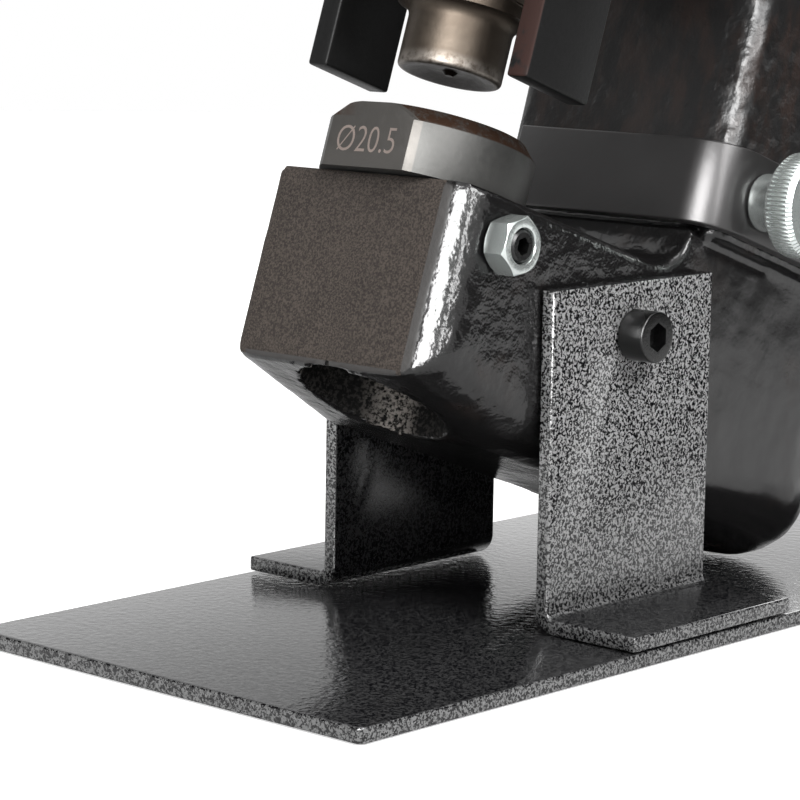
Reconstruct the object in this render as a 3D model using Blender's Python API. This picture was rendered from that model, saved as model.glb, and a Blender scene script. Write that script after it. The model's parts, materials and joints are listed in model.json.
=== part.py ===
# Hydraulic hole punch in its bench stand: a hand-pumped C-frame punch that leans back in two brackets
import math

import bmesh
import bpy
from mathutils import Matrix, Vector

# Everything is in metres. The part's origin is the middle of the base plate's underside.
# The head has its own frame: X across, Y towards the back of the throat, Z up the punch axis,
# with its origin on the punch axis at the die seat.

# Fits shared by the whole part
gap = 0.0003
overrun = 0.004
lean_angle = math.radians(18.7)
round_sides = 32
small_sides = 16
hex_sides = 6

# Stand of bent sheet
sheet = 0.003
base_width = 0.1013
base_length = 0.250
base_corner = 0.0015
bracket_height = 0.0690
bracket_length = 0.0495
bracket_setback = 0.0743
bracket_bend = 0.0015
pivot_from_front = 0.0239
pivot_height = 0.0588

# Place of the head on the stand
head_setback = 0.0692
head_height = 0.0856

# Lower jaw and root of the frame
jaw_half = 0.0261
nose_front = 0.0148
nose_depth = 0.0372
nose_edge = 0.0078
nose_edge_left = 0.0045
nose_chamfer = 0.0008
jaw_top_edge = 0.0018
belly_edge = 0.0095
belly_edge_left = 0.0040
throat_end = 0.0425
ledge_front = 0.0520
ledge_height = 0.0096
belly_knee = 0.0150
belly_knee_drop = 0.0450
belly_end = 0.0700
belly_end_drop = 0.0456
root_drop = 0.0495
heel_radius = 0.0192
heel_edge = 0.0170
crown_radius = 0.0200
back_depth = 0.1260
back_run = 0.0240
back_inset = 0.0220
ledge_slot_length = 0.0210
ledge_slot_height = 0.0012
ledge_slot_depth = 0.0010
ledge_slot_drop = 0.0018
ledge_slot_setback = 0.0055

# Column
column_half = 0.0285
column_front = 0.0555
column_edge = 0.0048
column_edge_left = 0.0012
column_sink = 0.0008
column_back_run = 0.0260
column_back_inset = 0.0220

# Upper arm and cylinder barrel
arm_bottom = 0.0660
arm_thick = 0.0440
arm_half = 0.0282
arm_fillet = 0.0100
arm_edge = 0.0070
barrel_radius = 0.0440
barrel_top = 0.1520
barrel_edge = 0.0030
bore_radius = 0.0310
bore_bottom = 0.0860
rod_radius = 0.0200

# Die and its locking screw
die_radius = 0.0201
die_height = 0.0130
die_flat = 0.0171
die_turn = math.radians(-2.1)
die_chamfer = 0.0026
die_chamfer_drop = 0.0030
die_shank_radius = 0.0128
die_shank_length = 0.0120
hole_radius = 0.01025
hole_clearance = 0.00035
die_land = 0.0060
die_relief = 0.0005
slug_radius = 0.0146
slug_setback = 0.0008
die_screw_depth = 0.0090
die_screw_forward = 0.0042

# Punch, ram and what holds them
punch_lift = 0.0231
punch_nose = 0.0125
punch_step = 0.0022
punch_body_radius = 0.0130
punch_body = 0.0150
punch_groove = 0.0007
punch_head_radius = 0.0150
punch_head = 0.0050
punch_hollow = 0.0010
punch_pip = 0.0008
punch_nut_radius = 0.0195
punch_nut_lip = 0.0040
punch_nut_height = 0.0200
punch_nut_edge = 0.0015
punch_nut_hole = 0.0025
punch_tip_radius = 0.0008
piston_thick = 0.0140
piston_seal_height = 0.0060
piston_seal_depth = 0.0035
spring_wire = 0.0045
spring_turns = 4.5
spring_flat = 0.75
spring_points = 10
spring_radius = 0.0257
spring_height = 0.0390
wiper_height = 0.0050
wiper_depth = 0.0035

# Stripper
leg_inner = 0.0229
leg_thick = 0.0051
leg_front = 0.0101
leg_depth = 0.0190
leg_bottom = 0.0214
leg_edge = 0.0006
bridge_thick = 0.0050
bridge_lip = 0.0030
bridge_half_depth = 0.0290
bridge_hole = 0.0225
stripper_screw_x = 0.0215
stripper_screw_y = 0.0225

# Depth stop and its thumbscrew
stop_left = 0.0225
stop_thick = 0.0032
stop_front = 0.0502
stop_bottom = 0.0102
stop_height = 0.0171
stop_leg = 0.0470
stop_bend = 0.0100
stop_edge = 0.0004
stop_play = 0.0004
stop_travel = 0.0250
thumb_behind_front = 0.0143
thumb_height = 0.0082
thumb_engage = 0.0080
thumb_collar_radius = 0.0058
thumb_collar = 0.0073
thumb_head_radius = 0.0105
thumb_head = 0.0062
thumb_chamfer = 0.0010
thumb_knurls = 24
thumb_knurl_depth = 0.0005

# Pump block on the barrel
flange_thick = 0.0120
flange_edge = 0.0015
spigot_depth = 0.0090
seal_height = 0.0030
seal_depth = 0.0022
block_half_width = 0.0275
block_half_depth = 0.0320
block_height = 0.0560
block_edge = 0.0030
block_screw_x = 0.0345
block_screw_y = 0.0150
lug_inner = 0.0120
lug_thick = 0.0080
lug_radius = 0.0120
pivot_back = 0.0560
pivot_up = 0.0160
pin_radius = 0.0050
pin_overhang = 0.0032
nipple_radius = 0.0090
nipple_height = 0.0080
nipple_bore = 0.0025

# Plunger and its gland
plunger_radius = 0.0070
link_radius = 0.0246
plunger_inner = 0.0020
plunger_past = 0.0070
gland_radius = 0.0130
gland_thick = 0.0060
gland_thread_radius = 0.0105
gland_thread = 0.0090
gland_seal = 0.0030
link_pin_radius = 0.0030
slot_play = 0.0005

# Lever
lever_swing = math.radians(40)
yoke_half = 0.0117
yoke_arm = 0.0042
yoke_depth = 0.0240
yoke_window_low = 0.0105
yoke_window_high = 0.0360
yoke_top = 0.0440
yoke_spigot = 0.0240
tube_radius = 0.0125
tube_wall = 0.0025
tube_length = 0.1950
grip_thick = 0.0038
grip_length = 0.1100
grip_overhang = 0.0050
grip_rings = 6
ring_rise = 0.0012
ring_pitch = 0.0130
ring_start = 0.0150

# Fixed handle with the oil inside
reservoir_radius = 0.0210
reservoir_wall = 0.0022
reservoir_length = 0.1750
reservoir_spigot = 0.0120
bladder_radius = 0.0155
bladder_wall = 0.0015
bladder_length = 0.1250
sleeve_thick = 0.0030
sleeve_length = 0.1050
sleeve_up = 0.0450
cap_height = 0.0200
cap_radius = 0.0250
cap_spigot = 0.0120
cap_edge = 0.0020
filler_radius = 0.0080
filler_head = 0.0110
filler_height = 0.0060
filler_depth = 0.0140

# Valves in the pump block
passage_radius = 0.0020
ball_radius = 0.0030
ball_bore = 0.0036
ball_depth = 0.0070
plug_radius = 0.0050
plug_depth = 0.0060
plug_key = 0.0015
valve_setback = 0.0120
release_forward = 0.0140
release_up = 0.0300
knob_radius = 0.0130
knob_thick = 0.0120
knob_stand = 0.0020
knob_lobes = 6
knob_lobe_depth = 0.0012
needle_radius = 0.0040
needle_depth = 0.0150
relief_radius = 0.0060
relief_depth = 0.0130

# Socket-head and set screws: thread, head and key sizes of the ones used
screw_m6 = {"shank": 0.0030, "head": 0.0050, "height": 0.0060, "key": 0.0025, "key_depth": 0.0030}
screw_m5 = {"shank": 0.0025, "head": 0.00425, "height": 0.0050, "key": 0.0020, "key_depth": 0.0025}
pivot_screw_length = 0.0160
block_screw_length = 0.0220
stripper_screw_length = 0.0160
die_key = 0.0015
die_key_depth = 0.0035
nut_flat = 0.0050
nut_height = 0.0052
screw_edge = 0.0004
circlip_thick = 0.0010
circlip_depth = 0.0012


for old in list(bpy.data.objects):
    bpy.data.objects.remove(old)


# Materials
def paint(name, colour, roughness, metallic):
    made = bpy.data.materials.new(name)
    made.use_nodes = True
    shader = made.node_tree.nodes["Principled BSDF"]
    shader.inputs["Base Color"].default_value = (*colour, 1.0)
    shader.inputs["Roughness"].default_value = roughness
    shader.inputs["Metallic"].default_value = metallic
    return made


hammertone = paint("hammertone_paint", (0.07, 0.07, 0.075), 0.35, 0.4)
black_paint = paint("black_paint", (0.022, 0.020, 0.020), 0.28, 0.0)
tool_steel = paint("tool_steel", (0.22, 0.21, 0.20), 0.35, 1.0)
dark_steel = paint("dark_steel", (0.05, 0.05, 0.055), 0.40, 0.8)
zinc = paint("zinc_plate", (0.62, 0.66, 0.68), 0.25, 1.0)
black_oxide = paint("black_oxide", (0.03, 0.03, 0.03), 0.42, 0.7)
chrome = paint("hard_chrome", (0.75, 0.75, 0.76), 0.12, 1.0)
rubber = paint("black_rubber", (0.025, 0.025, 0.025), 0.75, 0.0)
seal_rubber = paint("seal_rubber", (0.04, 0.03, 0.02), 0.6, 0.0)
block_alloy = paint("pump_alloy", (0.55, 0.56, 0.57), 0.38, 1.0)


# Mesh helpers
def finish(made, name, material, parent=None, place=(0, 0, 0)):
    bmesh.ops.recalc_face_normals(made, faces=made.faces)
    mesh = bpy.data.meshes.new(name)
    made.to_mesh(mesh)
    made.free()
    mesh.shade_smooth()
    mesh.set_sharp_from_angle(angle=math.radians(32))
    mesh.materials.append(material)
    thing = bpy.data.objects.new(name, mesh)
    thing.parent = parent
    thing.location = place
    bpy.context.scene.collection.objects.link(thing)
    return thing


def turned(profile, sides, closed=False):
    # Spins a list of (radius, height) about Z; a point on the axis becomes one vertex
    made = bmesh.new()
    rings = []
    for radius, height in profile:
        if radius == 0:
            rings.append([made.verts.new((0, 0, height))])
            continue
        ring = []
        for step in range(sides):
            turn = math.tau * step / sides
            ring.append(made.verts.new((radius * math.cos(turn), radius * math.sin(turn), height)))
        rings.append(ring)
    pairs = list(zip(rings, rings[1:]))
    if closed:
        pairs.append((rings[-1], rings[0]))
    for low, high in pairs:
        for step in range(sides if len(low) + len(high) > 2 else 0):
            after = (step + 1) % sides
            corners = [low[step % len(low)], low[after % len(low)],
                       high[after % len(high)], high[step % len(high)]]
            made.faces.new(list(dict.fromkeys(corners)))
    return made


def prism(outline, low, high):
    # Extrudes an outline of (x, y) from one height to another
    made = bmesh.new()
    bottom = [made.verts.new((x, y, low)) for x, y in outline]
    top = [made.verts.new((x, y, high)) for x, y in outline]
    made.faces.new(bottom)
    made.faces.new(top)
    for index in range(len(outline)):
        after = (index + 1) % len(outline)
        made.faces.new((bottom[index], bottom[after], top[after], top[index]))
    return made


def box(low, high):
    return prism([(low[0], low[1]), (high[0], low[1]), (high[0], high[1]), (low[0], high[1])],
                 low[2], high[2])


def arc(centre, radius, start, end, steps):
    points = []
    for step in range(steps + 1):
        turn = start + (end - start) * step / steps
        points.append((centre[0] + radius * math.cos(turn), centre[1] + radius * math.sin(turn)))
    return points


def lay(made, axis):
    # Turns a shape built along Z so that it runs along X or Y
    if axis == "X":
        turn = Matrix(((0, 0, 1), (0, 1, 0), (-1, 0, 0))).to_4x4()
    elif axis == "-X":
        turn = Matrix(((0, 0, -1), (0, 1, 0), (1, 0, 0))).to_4x4()
    elif axis == "Y":
        turn = Matrix(((1, 0, 0), (0, 0, 1), (0, -1, 0))).to_4x4()
    elif axis == "-Z":
        turn = Matrix(((1, 0, 0), (0, -1, 0), (0, 0, -1))).to_4x4()
    else:
        turn = Matrix.Identity(4)
    bmesh.ops.transform(made, matrix=turn, verts=made.verts)
    return made


def shift(made, place):
    bmesh.ops.translate(made, vec=Vector(place), verts=made.verts)
    return made


def joined(body, operation, tools):
    # Applies Boolean tools, given as bmeshes in the body's own frame, and leaves only the body
    for tool in tools:
        helper = finish(tool, "tool", black_paint, body.parent, body.location)
        helper.hide_render = True
        helper.display_type = "WIRE"
        step = body.modifiers.new("step", "BOOLEAN")
        step.operation = operation
        step.solver = "EXACT"
        step.object = helper
        bpy.context.view_layer.update()
        ready = body.evaluated_get(bpy.context.evaluated_depsgraph_get())
        mesh = bpy.data.meshes.new_from_object(ready)
        body.modifiers.remove(step)
        material = body.data.materials[0]
        body.data = mesh
        mesh.materials.clear()
        mesh.materials.append(material)
        bpy.data.objects.remove(helper)
    body.data.shade_smooth()
    body.data.set_sharp_from_angle(angle=math.radians(32))
    return body


def carve(body, *tools):
    return joined(body, "DIFFERENCE", tools)


def weld(body, *tools):
    return joined(body, "UNION", tools)


def cylinder(radius, low, high, sides=round_sides):
    return turned([(0, low), (radius, low), (radius, high), (0, high)], sides)


def edge_share(across, half, run):
    # How far a rounding of this run has drawn in at one place across the slab, from 0 to 1
    past = abs(across) - (half - run)
    if run == 0 or past <= 0:
        return 0
    return 1 - math.sqrt(max(0, 1 - (past / run) ** 2))


def rounded_slab(outline, left, half, widest, steps=7):
    # A slab across X. Each outline point is (y, z, run_y, inset_y, run_z, inset_z): each rounding
    # starts its run away from the side face and has moved the point by the inset when it gets there.
    # The left half follows its own outline, which differs in the roundings alone.
    made = bmesh.new()
    places = [half - widest + widest * math.sin(math.pi / 2 * step / steps) for step in range(steps + 1)]
    rings = []
    for across in [-place for place in reversed(places)] + places:
        ring = []
        for y, z, run_y, inset_y, run_z, inset_z in left if across < 0 else outline:
            moved_y = y + inset_y * edge_share(across, half, run_y)
            moved_z = z + inset_z * edge_share(across, half, run_z)
            ring.append(made.verts.new((across, moved_y, moved_z)))
        rings.append(ring)
    for low, high in zip(rings, rings[1:]):
        for index in range(len(outline)):
            after = (index + 1) % len(outline)
            made.faces.new((low[index], low[after], high[after], high[index]))
    made.faces.new(rings[0])
    made.faces.new(rings[-1])
    return made


def rounded_box(low, high, edge, steps=3):
    made = box(low, high)
    bmesh.ops.bevel(made, geom=list(made.edges), offset=edge, segments=steps, profile=0.5,
                    affect="EDGES", clamp_overlap=True)
    return made


def hexagon(flat):
    reach = flat / math.cos(math.pi / hex_sides)
    return arc((0, 0), reach, 0, math.tau * (hex_sides - 1) / hex_sides, hex_sides - 1)


def socket_screw(name, size, length, parent, place, axis):
    # The head's seat is at the object's origin and the shank runs the other way
    head, shank = size["head"], size["shank"]
    edge = screw_edge
    profile = [(0, -length), (shank - edge, -length), (shank, -length + edge), (shank, 0), (head, 0),
               (head, size["height"] - edge), (head - edge, size["height"]), (0, size["height"])]
    screw = finish(lay(turned(profile, small_sides), axis), name, black_oxide, parent, place)
    key = prism(hexagon(size["key"]), size["height"] - size["key_depth"], size["height"] + overrun)
    return carve(screw, lay(key, axis))


def ring(name, inner, outer, low, high, material, parent, place=(0, 0, 0), axis="Z", sides=round_sides):
    profile = [(inner, low), (outer, low), (outer, high), (inner, high)]
    return finish(lay(turned(profile, sides, closed=True), axis), name, material, parent, place)


# Stand
base_front = -base_length / 2


def make_base():
    made = box((-base_width / 2, base_front, 0), (base_width / 2, -base_front, sheet))
    upright = [edge for edge in made.edges if abs(edge.verts[0].co.z - edge.verts[1].co.z) > sheet / 2]
    bmesh.ops.bevel(made, geom=upright, offset=base_corner, segments=2, profile=0.5, affect="EDGES")
    return finish(made, "base_plate", hammertone)


def make_bracket(name, side):
    inner = jaw_half + gap
    outer = inner + sheet
    foot = sheet + gap
    bend_centre = (outer + bracket_bend, foot + sheet + bracket_bend)
    outline = [(inner, bracket_height), (outer, bracket_height)]
    outline += arc(bend_centre, bracket_bend, math.pi, 1.5 * math.pi, 4)
    outline += [(base_width / 2, foot + sheet), (base_width / 2, foot)]
    outline += arc(bend_centre, bracket_bend + sheet, 1.5 * math.pi, math.pi, 6)
    outline = [(side * x, z) for x, z in outline]
    front = base_front + bracket_setback
    made = prism(outline, -front - bracket_length, -front)
    turn = Matrix(((1, 0, 0), (0, 0, -1), (0, 1, 0))).to_4x4()
    bmesh.ops.transform(made, matrix=turn, verts=made.verts)
    bracket = finish(made, name, hammertone)
    hole = lay(cylinder(screw_m6["shank"] + gap, 0, base_width, small_sides), "X")
    shift(hole, (-base_width / 2, front + pivot_from_front, pivot_height))
    return carve(bracket, hole)


make_base()
make_bracket("bracket_left", -1)
make_bracket("bracket_right", 1)

pivot_y = base_front + bracket_setback + pivot_from_front
bracket_face = jaw_half + gap + sheet
for name, side, axis in (("pivot_screw_left", -1, "-X"), ("pivot_screw_right", 1, "X")):
    socket_screw(name, screw_m6, pivot_screw_length, None,
                 (side * (bracket_face + gap), pivot_y, pivot_height), axis)

head = bpy.data.objects.new("head_frame", None)
bpy.context.scene.collection.objects.link(head)
head.location = (0, base_front + head_setback, head_height)
head.rotation_euler = (-lean_angle, 0, 0)


# Where the pivot screws stand in the head's frame
pivot_dy = pivot_y - head.location.y
pivot_dz = pivot_height - head.location.z
pivot_v = pivot_dy * math.cos(lean_angle) - pivot_dz * math.sin(lean_angle)
pivot_w = pivot_dy * math.sin(lean_angle) + pivot_dz * math.cos(lean_angle)


# Frame
def root_outline(nose, under):
    # Each point is (y, z, run_y, inset_y, run_z, inset_z), from the jaw's front face round the belly
    top = (jaw_top_edge, -jaw_top_edge)
    belly = (under, under)
    outline = [(-nose_front, 0, nose, nose, *top)]
    outline.append((-nose_front, -nose_depth, nose, nose, *belly))
    corner = -nose_front + nose_chamfer
    outline.append((corner, -nose_depth - nose_chamfer, nose, nose, *belly))
    outline.append((belly_knee, -belly_knee_drop, 0, 0, *belly))
    outline.append((belly_end, -belly_end_drop, 0, 0, *belly))
    heel = (back_depth - heel_radius, -root_drop + heel_radius)
    steps = 8
    for step, (y, z) in enumerate(arc(heel, heel_radius, -math.pi / 2, 0, steps)):
        share = (2 + step) / (2 + steps)
        outline.append((y, z, back_run, -back_inset * share, heel_edge, heel_edge * (1 - step / steps)))
    outline.append((back_depth, ledge_height, back_run, -back_inset, *top))
    outline.append((ledge_front, ledge_height, 0, 0, *top))
    rise = ledge_front - throat_end
    for y, z in arc((throat_end, rise), rise, 0, -math.pi / 2, 6):
        if z < ledge_height:
            outline.append((y, z, 0, 0, *top))
    return outline


def column_outline(edge):
    front, back = (edge, edge), (column_back_run, -column_back_inset)
    low, high = ledge_height - column_sink, arm_bottom + arm_thick
    outline = [(column_front, low, *front, 0, 0), (back_depth, low, *back, 0, 0)]
    crown = (back_depth - crown_radius, high - crown_radius)
    steps = 6
    for step, (y, z) in enumerate(arc(crown, crown_radius, 0, math.pi / 2, steps)):
        share = 1 - step / (2 * steps)
        outline.append((y, z, column_back_run, -column_back_inset * share, arm_edge, -arm_edge * step / steps))
    outline.append((column_front, high, *front, arm_edge, -arm_edge))
    return outline


def arm_outline():
    low, high = arm_bottom, arm_bottom + arm_thick
    corner = (column_front - arm_fillet, low - arm_fillet)
    outline = [(0, low, 0, 0, arm_edge, arm_edge)]
    for y, z in arc(corner, arm_fillet, math.pi / 2, 0, 5):
        outline.append((y, z, 0, 0, arm_edge, arm_edge))
    back = column_front + crown_radius
    outline.append((column_front + arm_edge, low - arm_fillet, 0, 0, arm_edge, arm_edge))
    outline.append((back, low - arm_fillet, 0, 0, arm_edge, arm_edge))
    outline.append((back, high, 0, 0, arm_edge, -arm_edge))
    outline.append((0, high, 0, 0, arm_edge, -arm_edge))
    return outline


def make_frame():
    root = root_outline(nose_edge, belly_edge)
    root_left = root_outline(nose_edge_left, belly_edge_left)
    frame = finish(rounded_slab(root, root_left, jaw_half, back_run), "c_frame", black_paint, head)
    barrel = turned([(0, arm_bottom), (barrel_radius - barrel_edge, arm_bottom),
                     (barrel_radius, arm_bottom + barrel_edge), (barrel_radius, barrel_top - barrel_edge),
                     (barrel_radius - barrel_edge, barrel_top), (0, barrel_top)], round_sides)
    column = rounded_slab(column_outline(column_edge), column_outline(column_edge_left), column_half,
                          column_back_run)
    arm = rounded_slab(arm_outline(), arm_outline(), arm_half, arm_edge, 4)
    weld(frame, column, arm, barrel)
    pocket = die_shank_radius + gap
    seat = turned([(0, -die_shank_length - gap), (pocket, -die_shank_length - gap), (pocket, overrun),
                   (0, overrun)], round_sides)
    slug = cylinder(slug_radius, -root_drop - overrun, -die_shank_length, round_sides)
    shift(slug, (0, slug_setback, 0))
    bore = turned([(0, arm_bottom - overrun), (rod_radius + gap, arm_bottom - overrun),
                   (rod_radius + gap, bore_bottom), (bore_radius, bore_bottom),
                   (bore_radius, barrel_top + overrun), (0, barrel_top + overrun)], round_sides)
    wiper = ring_tool(rod_radius, rod_radius + wiper_depth + gap, arm_bottom - overrun,
                      arm_bottom + wiper_height + gap)
    carve(frame, seat, slug, bore, wiper)
    screw_hole = screw_m6["shank"] + gap
    side_hole = lay(cylinder(screw_hole, 0, jaw_half + overrun, small_sides), "X")
    shift(side_hole, (0, -die_screw_forward, -die_screw_depth))
    carve(frame, side_hole)
    for side in (-1, 1):
        depth = pivot_screw_length - sheet
        hole = lay(cylinder(screw_hole, 0, depth + overrun, small_sides), "X")
        start = jaw_half - depth if side > 0 else -jaw_half - overrun
        shift(hole, (start, pivot_v, pivot_w))
        slot_low = ledge_height - ledge_slot_drop - ledge_slot_height
        face = side * (jaw_half - ledge_slot_depth)
        edge = side * (jaw_half + overrun)
        slot_front = ledge_front + ledge_slot_setback
        slot = box((min(face, edge), slot_front, slot_low),
                   (max(face, edge), slot_front + ledge_slot_length, slot_low + ledge_slot_height))
        carve(frame, hole, slot)
    for side in (-1, 1):
        for way in (-1, 1):
            hole = cylinder(screw_m5["shank"] + gap, arm_bottom - overrun,
                            arm_bottom + stripper_screw_length, small_sides)
            bolt = cylinder(screw_m6["shank"] + gap, barrel_top + flange_thick - block_screw_length - gap,
                            barrel_top + overrun, small_sides)
            carve(frame, shift(hole, (side * stripper_screw_x, way * stripper_screw_y, 0)),
                  shift(bolt, (side * block_screw_x, way * block_screw_y, 0)))
    return frame


def ring_tool(inner, outer, low, high):
    return turned([(inner, low), (outer, low), (outer, high), (inner, high)], round_sides, closed=True)


make_frame()


# Die and its locking screw
def make_die():
    chamfer, drop = die_chamfer, die_chamfer_drop
    profile = [(0, -die_shank_length), (die_shank_radius, -die_shank_length), (die_shank_radius, gap),
               (die_radius, gap), (die_radius, die_height - drop), (die_radius - chamfer, die_height),
               (0, die_height)]
    die = finish(turned(profile, round_sides), "die", tool_steel, head)
    bore = hole_radius + hole_clearance
    wide = bore + die_relief
    step = die_height - die_land
    through = turned([(0, -die_shank_length - overrun), (wide, -die_shank_length - overrun),
                      (wide, step - die_relief), (bore, step), (bore, die_height + overrun),
                      (0, die_height + overrun)], round_sides)
    flat = box((-die_radius, -die_radius - overrun, -overrun), (die_radius, -die_flat, die_height + overrun))
    bmesh.ops.rotate(flat, verts=flat.verts, matrix=Matrix.Rotation(die_turn, 3, "Z"))
    return carve(die, through, flat)


def make_die_screw():
    tip = die_shank_radius + gap
    end = jaw_half + gap + nut_height - tip
    shank = screw_m6["shank"]
    profile = [(0, 0), (shank / 2, 0), (shank, shank / 2), (shank, end - screw_edge),
               (shank - screw_edge, end), (0, end)]
    place = (tip, -die_screw_forward, -die_screw_depth)
    screw = finish(lay(turned(profile, small_sides), "X"), "die_set_screw", black_oxide, head, place)
    key = prism(hexagon(die_key), end - die_key_depth, end + overrun)
    carve(screw, lay(key, "X"))
    reach = nut_flat / math.cos(math.pi / hex_sides)
    nut_place = (jaw_half + gap, -die_screw_forward, -die_screw_depth)
    nut = finish(lay(prism(hexagon(nut_flat), 0, nut_height), "X"), "die_lock_nut", zinc, head, nut_place)
    crown = turned([(0, 0), (nut_flat, 0), (reach, reach - nut_flat), (reach, nut_height - reach + nut_flat),
                    (nut_flat, nut_height), (0, nut_height)], round_sides)
    joined(nut, "INTERSECT", [lay(crown, "X")])
    return carve(nut, lay(cylinder(shank + gap, -overrun, nut_height + overrun, small_sides), "X"))


make_die()
make_die_screw()


# Punch, ram and return spring
punch_top = punch_lift + punch_nose + punch_step + punch_body
nut_bottom = punch_top - punch_head - punch_nut_lip - gap


def make_punch():
    low = punch_lift
    flare = punch_body_radius - hole_radius
    shoulder = low + punch_nose
    groove = shoulder + punch_step
    profile = [(0, low + punch_hollow - punch_pip), (punch_pip, low + punch_hollow - punch_pip),
               (2 * punch_pip, low + punch_hollow), (hole_radius / 2, low + punch_hollow),
               (hole_radius - 2 * punch_tip_radius, low), (hole_radius - punch_tip_radius, low)]
    profile += arc((hole_radius - punch_tip_radius, low + punch_tip_radius), punch_tip_radius,
                   -math.pi / 2, 0, 3)[1:]
    profile += arc((punch_body_radius, shoulder - flare), flare, math.pi, math.pi / 2, 4)
    profile += [(punch_body_radius, groove), (punch_body_radius - punch_groove, groove),
                (punch_body_radius - punch_groove, groove + punch_groove),
                (punch_body_radius, groove + punch_groove), (punch_body_radius, punch_top - punch_head),
                (punch_head_radius, punch_top - punch_head), (punch_head_radius, punch_top), (0, punch_top)]
    return finish(turned(profile, round_sides), "punch", tool_steel, head)


def make_punch_nut():
    inner = punch_body_radius + gap
    wide = punch_head_radius + gap
    top = nut_bottom + punch_nut_height
    edge = punch_nut_edge
    profile = [(inner, nut_bottom), (punch_nut_radius - edge, nut_bottom), (punch_nut_radius, nut_bottom + edge),
               (punch_nut_radius, top - edge), (punch_nut_radius - edge, top), (wide, top),
               (wide, nut_bottom + punch_nut_lip), (inner, nut_bottom + punch_nut_lip)]
    nut = finish(turned(profile, round_sides, closed=True), "punch_nut", dark_steel, head)
    for turn in (0, math.pi / 2, math.pi, 1.5 * math.pi):
        spanner = cylinder(punch_nut_hole, 0, punch_nut_radius, small_sides // 2)
        shift(lay(spanner, "X"), (punch_nut_radius - punch_nut_hole, 0, (nut_bottom + top) / 2))
        bmesh.ops.rotate(spanner, verts=spanner.verts, matrix=Matrix.Rotation(turn, 3, "Z"))
        carve(nut, spanner)
    return nut


spring_low = bore_bottom + gap
piston_low = spring_low + spring_height + gap
piston_top = piston_low + piston_thick
nut_top = nut_bottom + punch_nut_height


def make_ram():
    nose = punch_top + gap
    piston = bore_radius - gap
    groove = (piston_low + piston_top - piston_seal_height) / 2
    profile = [(0, nose), (punch_head_radius, nose), (punch_head_radius, nut_top + gap),
               (rod_radius, nut_top + gap), (rod_radius, piston_low), (piston, piston_low),
               (piston, groove), (piston - piston_seal_depth, groove),
               (piston - piston_seal_depth, groove + piston_seal_height),
               (piston, groove + piston_seal_height), (piston, piston_top), (0, piston_top)]
    ram = finish(turned(profile, round_sides), "ram", chrome, head)
    ring("piston_seal", piston - piston_seal_depth + gap, bore_radius - gap / 2, groove + gap,
         groove + piston_seal_height - gap, seal_rubber, head)
    ring("ram_wiper", rod_radius + gap / 2, rod_radius + wiper_depth, arm_bottom + gap,
         arm_bottom + wiper_height, seal_rubber, head)
    return ram


def make_spring():
    # One tube along a helix whose end turns lie flat against the bore floor and the piston
    low = spring_low + spring_wire / 2
    rise = spring_height - spring_wire
    count = int(spring_turns * spring_points)
    made = bmesh.new()
    rings = []
    sides = 6
    for step in range(count + 1):
        share = step / count
        turn = math.tau * spring_turns * share
        eased = min(1, max(0, (share * spring_turns - spring_flat) / (spring_turns - 2 * spring_flat)))
        out = Vector((math.cos(turn), math.sin(turn), 0))
        centre = out * spring_radius + Vector((0, 0, low + rise * eased))
        circle = []
        for side in range(sides):
            angle = math.tau * side / sides
            offset = out * math.cos(angle) + Vector((0, 0, 1)) * math.sin(angle)
            circle.append(made.verts.new(centre + offset * spring_wire / 2))
        rings.append(circle)
    for first, second in zip(rings, rings[1:]):
        for side in range(sides):
            after = (side + 1) % sides
            made.faces.new((first[side], first[after], second[after], second[side]))
    made.faces.new(rings[0])
    made.faces.new(rings[-1])
    pitch = rise / (spring_turns - 2 * spring_flat)
    print("return spring, least gap between turns in mm:", round((pitch * spring_flat - spring_wire) * 1000, 2))
    return finish(made, "return_spring", dark_steel, head)


make_punch()
make_punch_nut()
make_ram()
make_spring()


# Stripper
def make_stripper():
    top = arm_bottom - gap
    low = top - bridge_thick
    half = leg_inner + leg_thick + bridge_lip
    stripper = finish(rounded_box((-half, -bridge_half_depth, low), (half, bridge_half_depth, top), leg_edge),
                      "stripper", dark_steel, head)
    for side in (-1, 1):
        x0, x1 = side * leg_inner, side * (leg_inner + leg_thick)
        leg = rounded_box((min(x0, x1), -leg_front, leg_bottom),
                          (max(x0, x1), leg_depth - leg_front, top - bridge_thick / 2), leg_edge, 2)
        weld(stripper, leg)
    carve(stripper, cylinder(bridge_hole, low - overrun, top + overrun))
    for side in (-1, 1):
        for way in (-1, 1):
            hole = cylinder(screw_m5["shank"] + gap, low - overrun, top + overrun, small_sides)
            carve(stripper, shift(hole, (side * stripper_screw_x, way * stripper_screw_y, 0)))
    return stripper


make_stripper()
for name, side, way in (("stripper_screw_1", -1, -1), ("stripper_screw_2", 1, -1),
                        ("stripper_screw_3", -1, 1), ("stripper_screw_4", 1, 1)):
    seat = (side * stripper_screw_x, way * stripper_screw_y, arm_bottom - bridge_thick - 2 * gap)
    socket_screw(name, screw_m5, stripper_screw_length, head, seat, "-Z")


# Depth stop and its thumbscrew
stop_inner = column_half + gap
stop_outer = stop_inner + stop_thick
thumb_y = stop_front + thumb_behind_front


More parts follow.
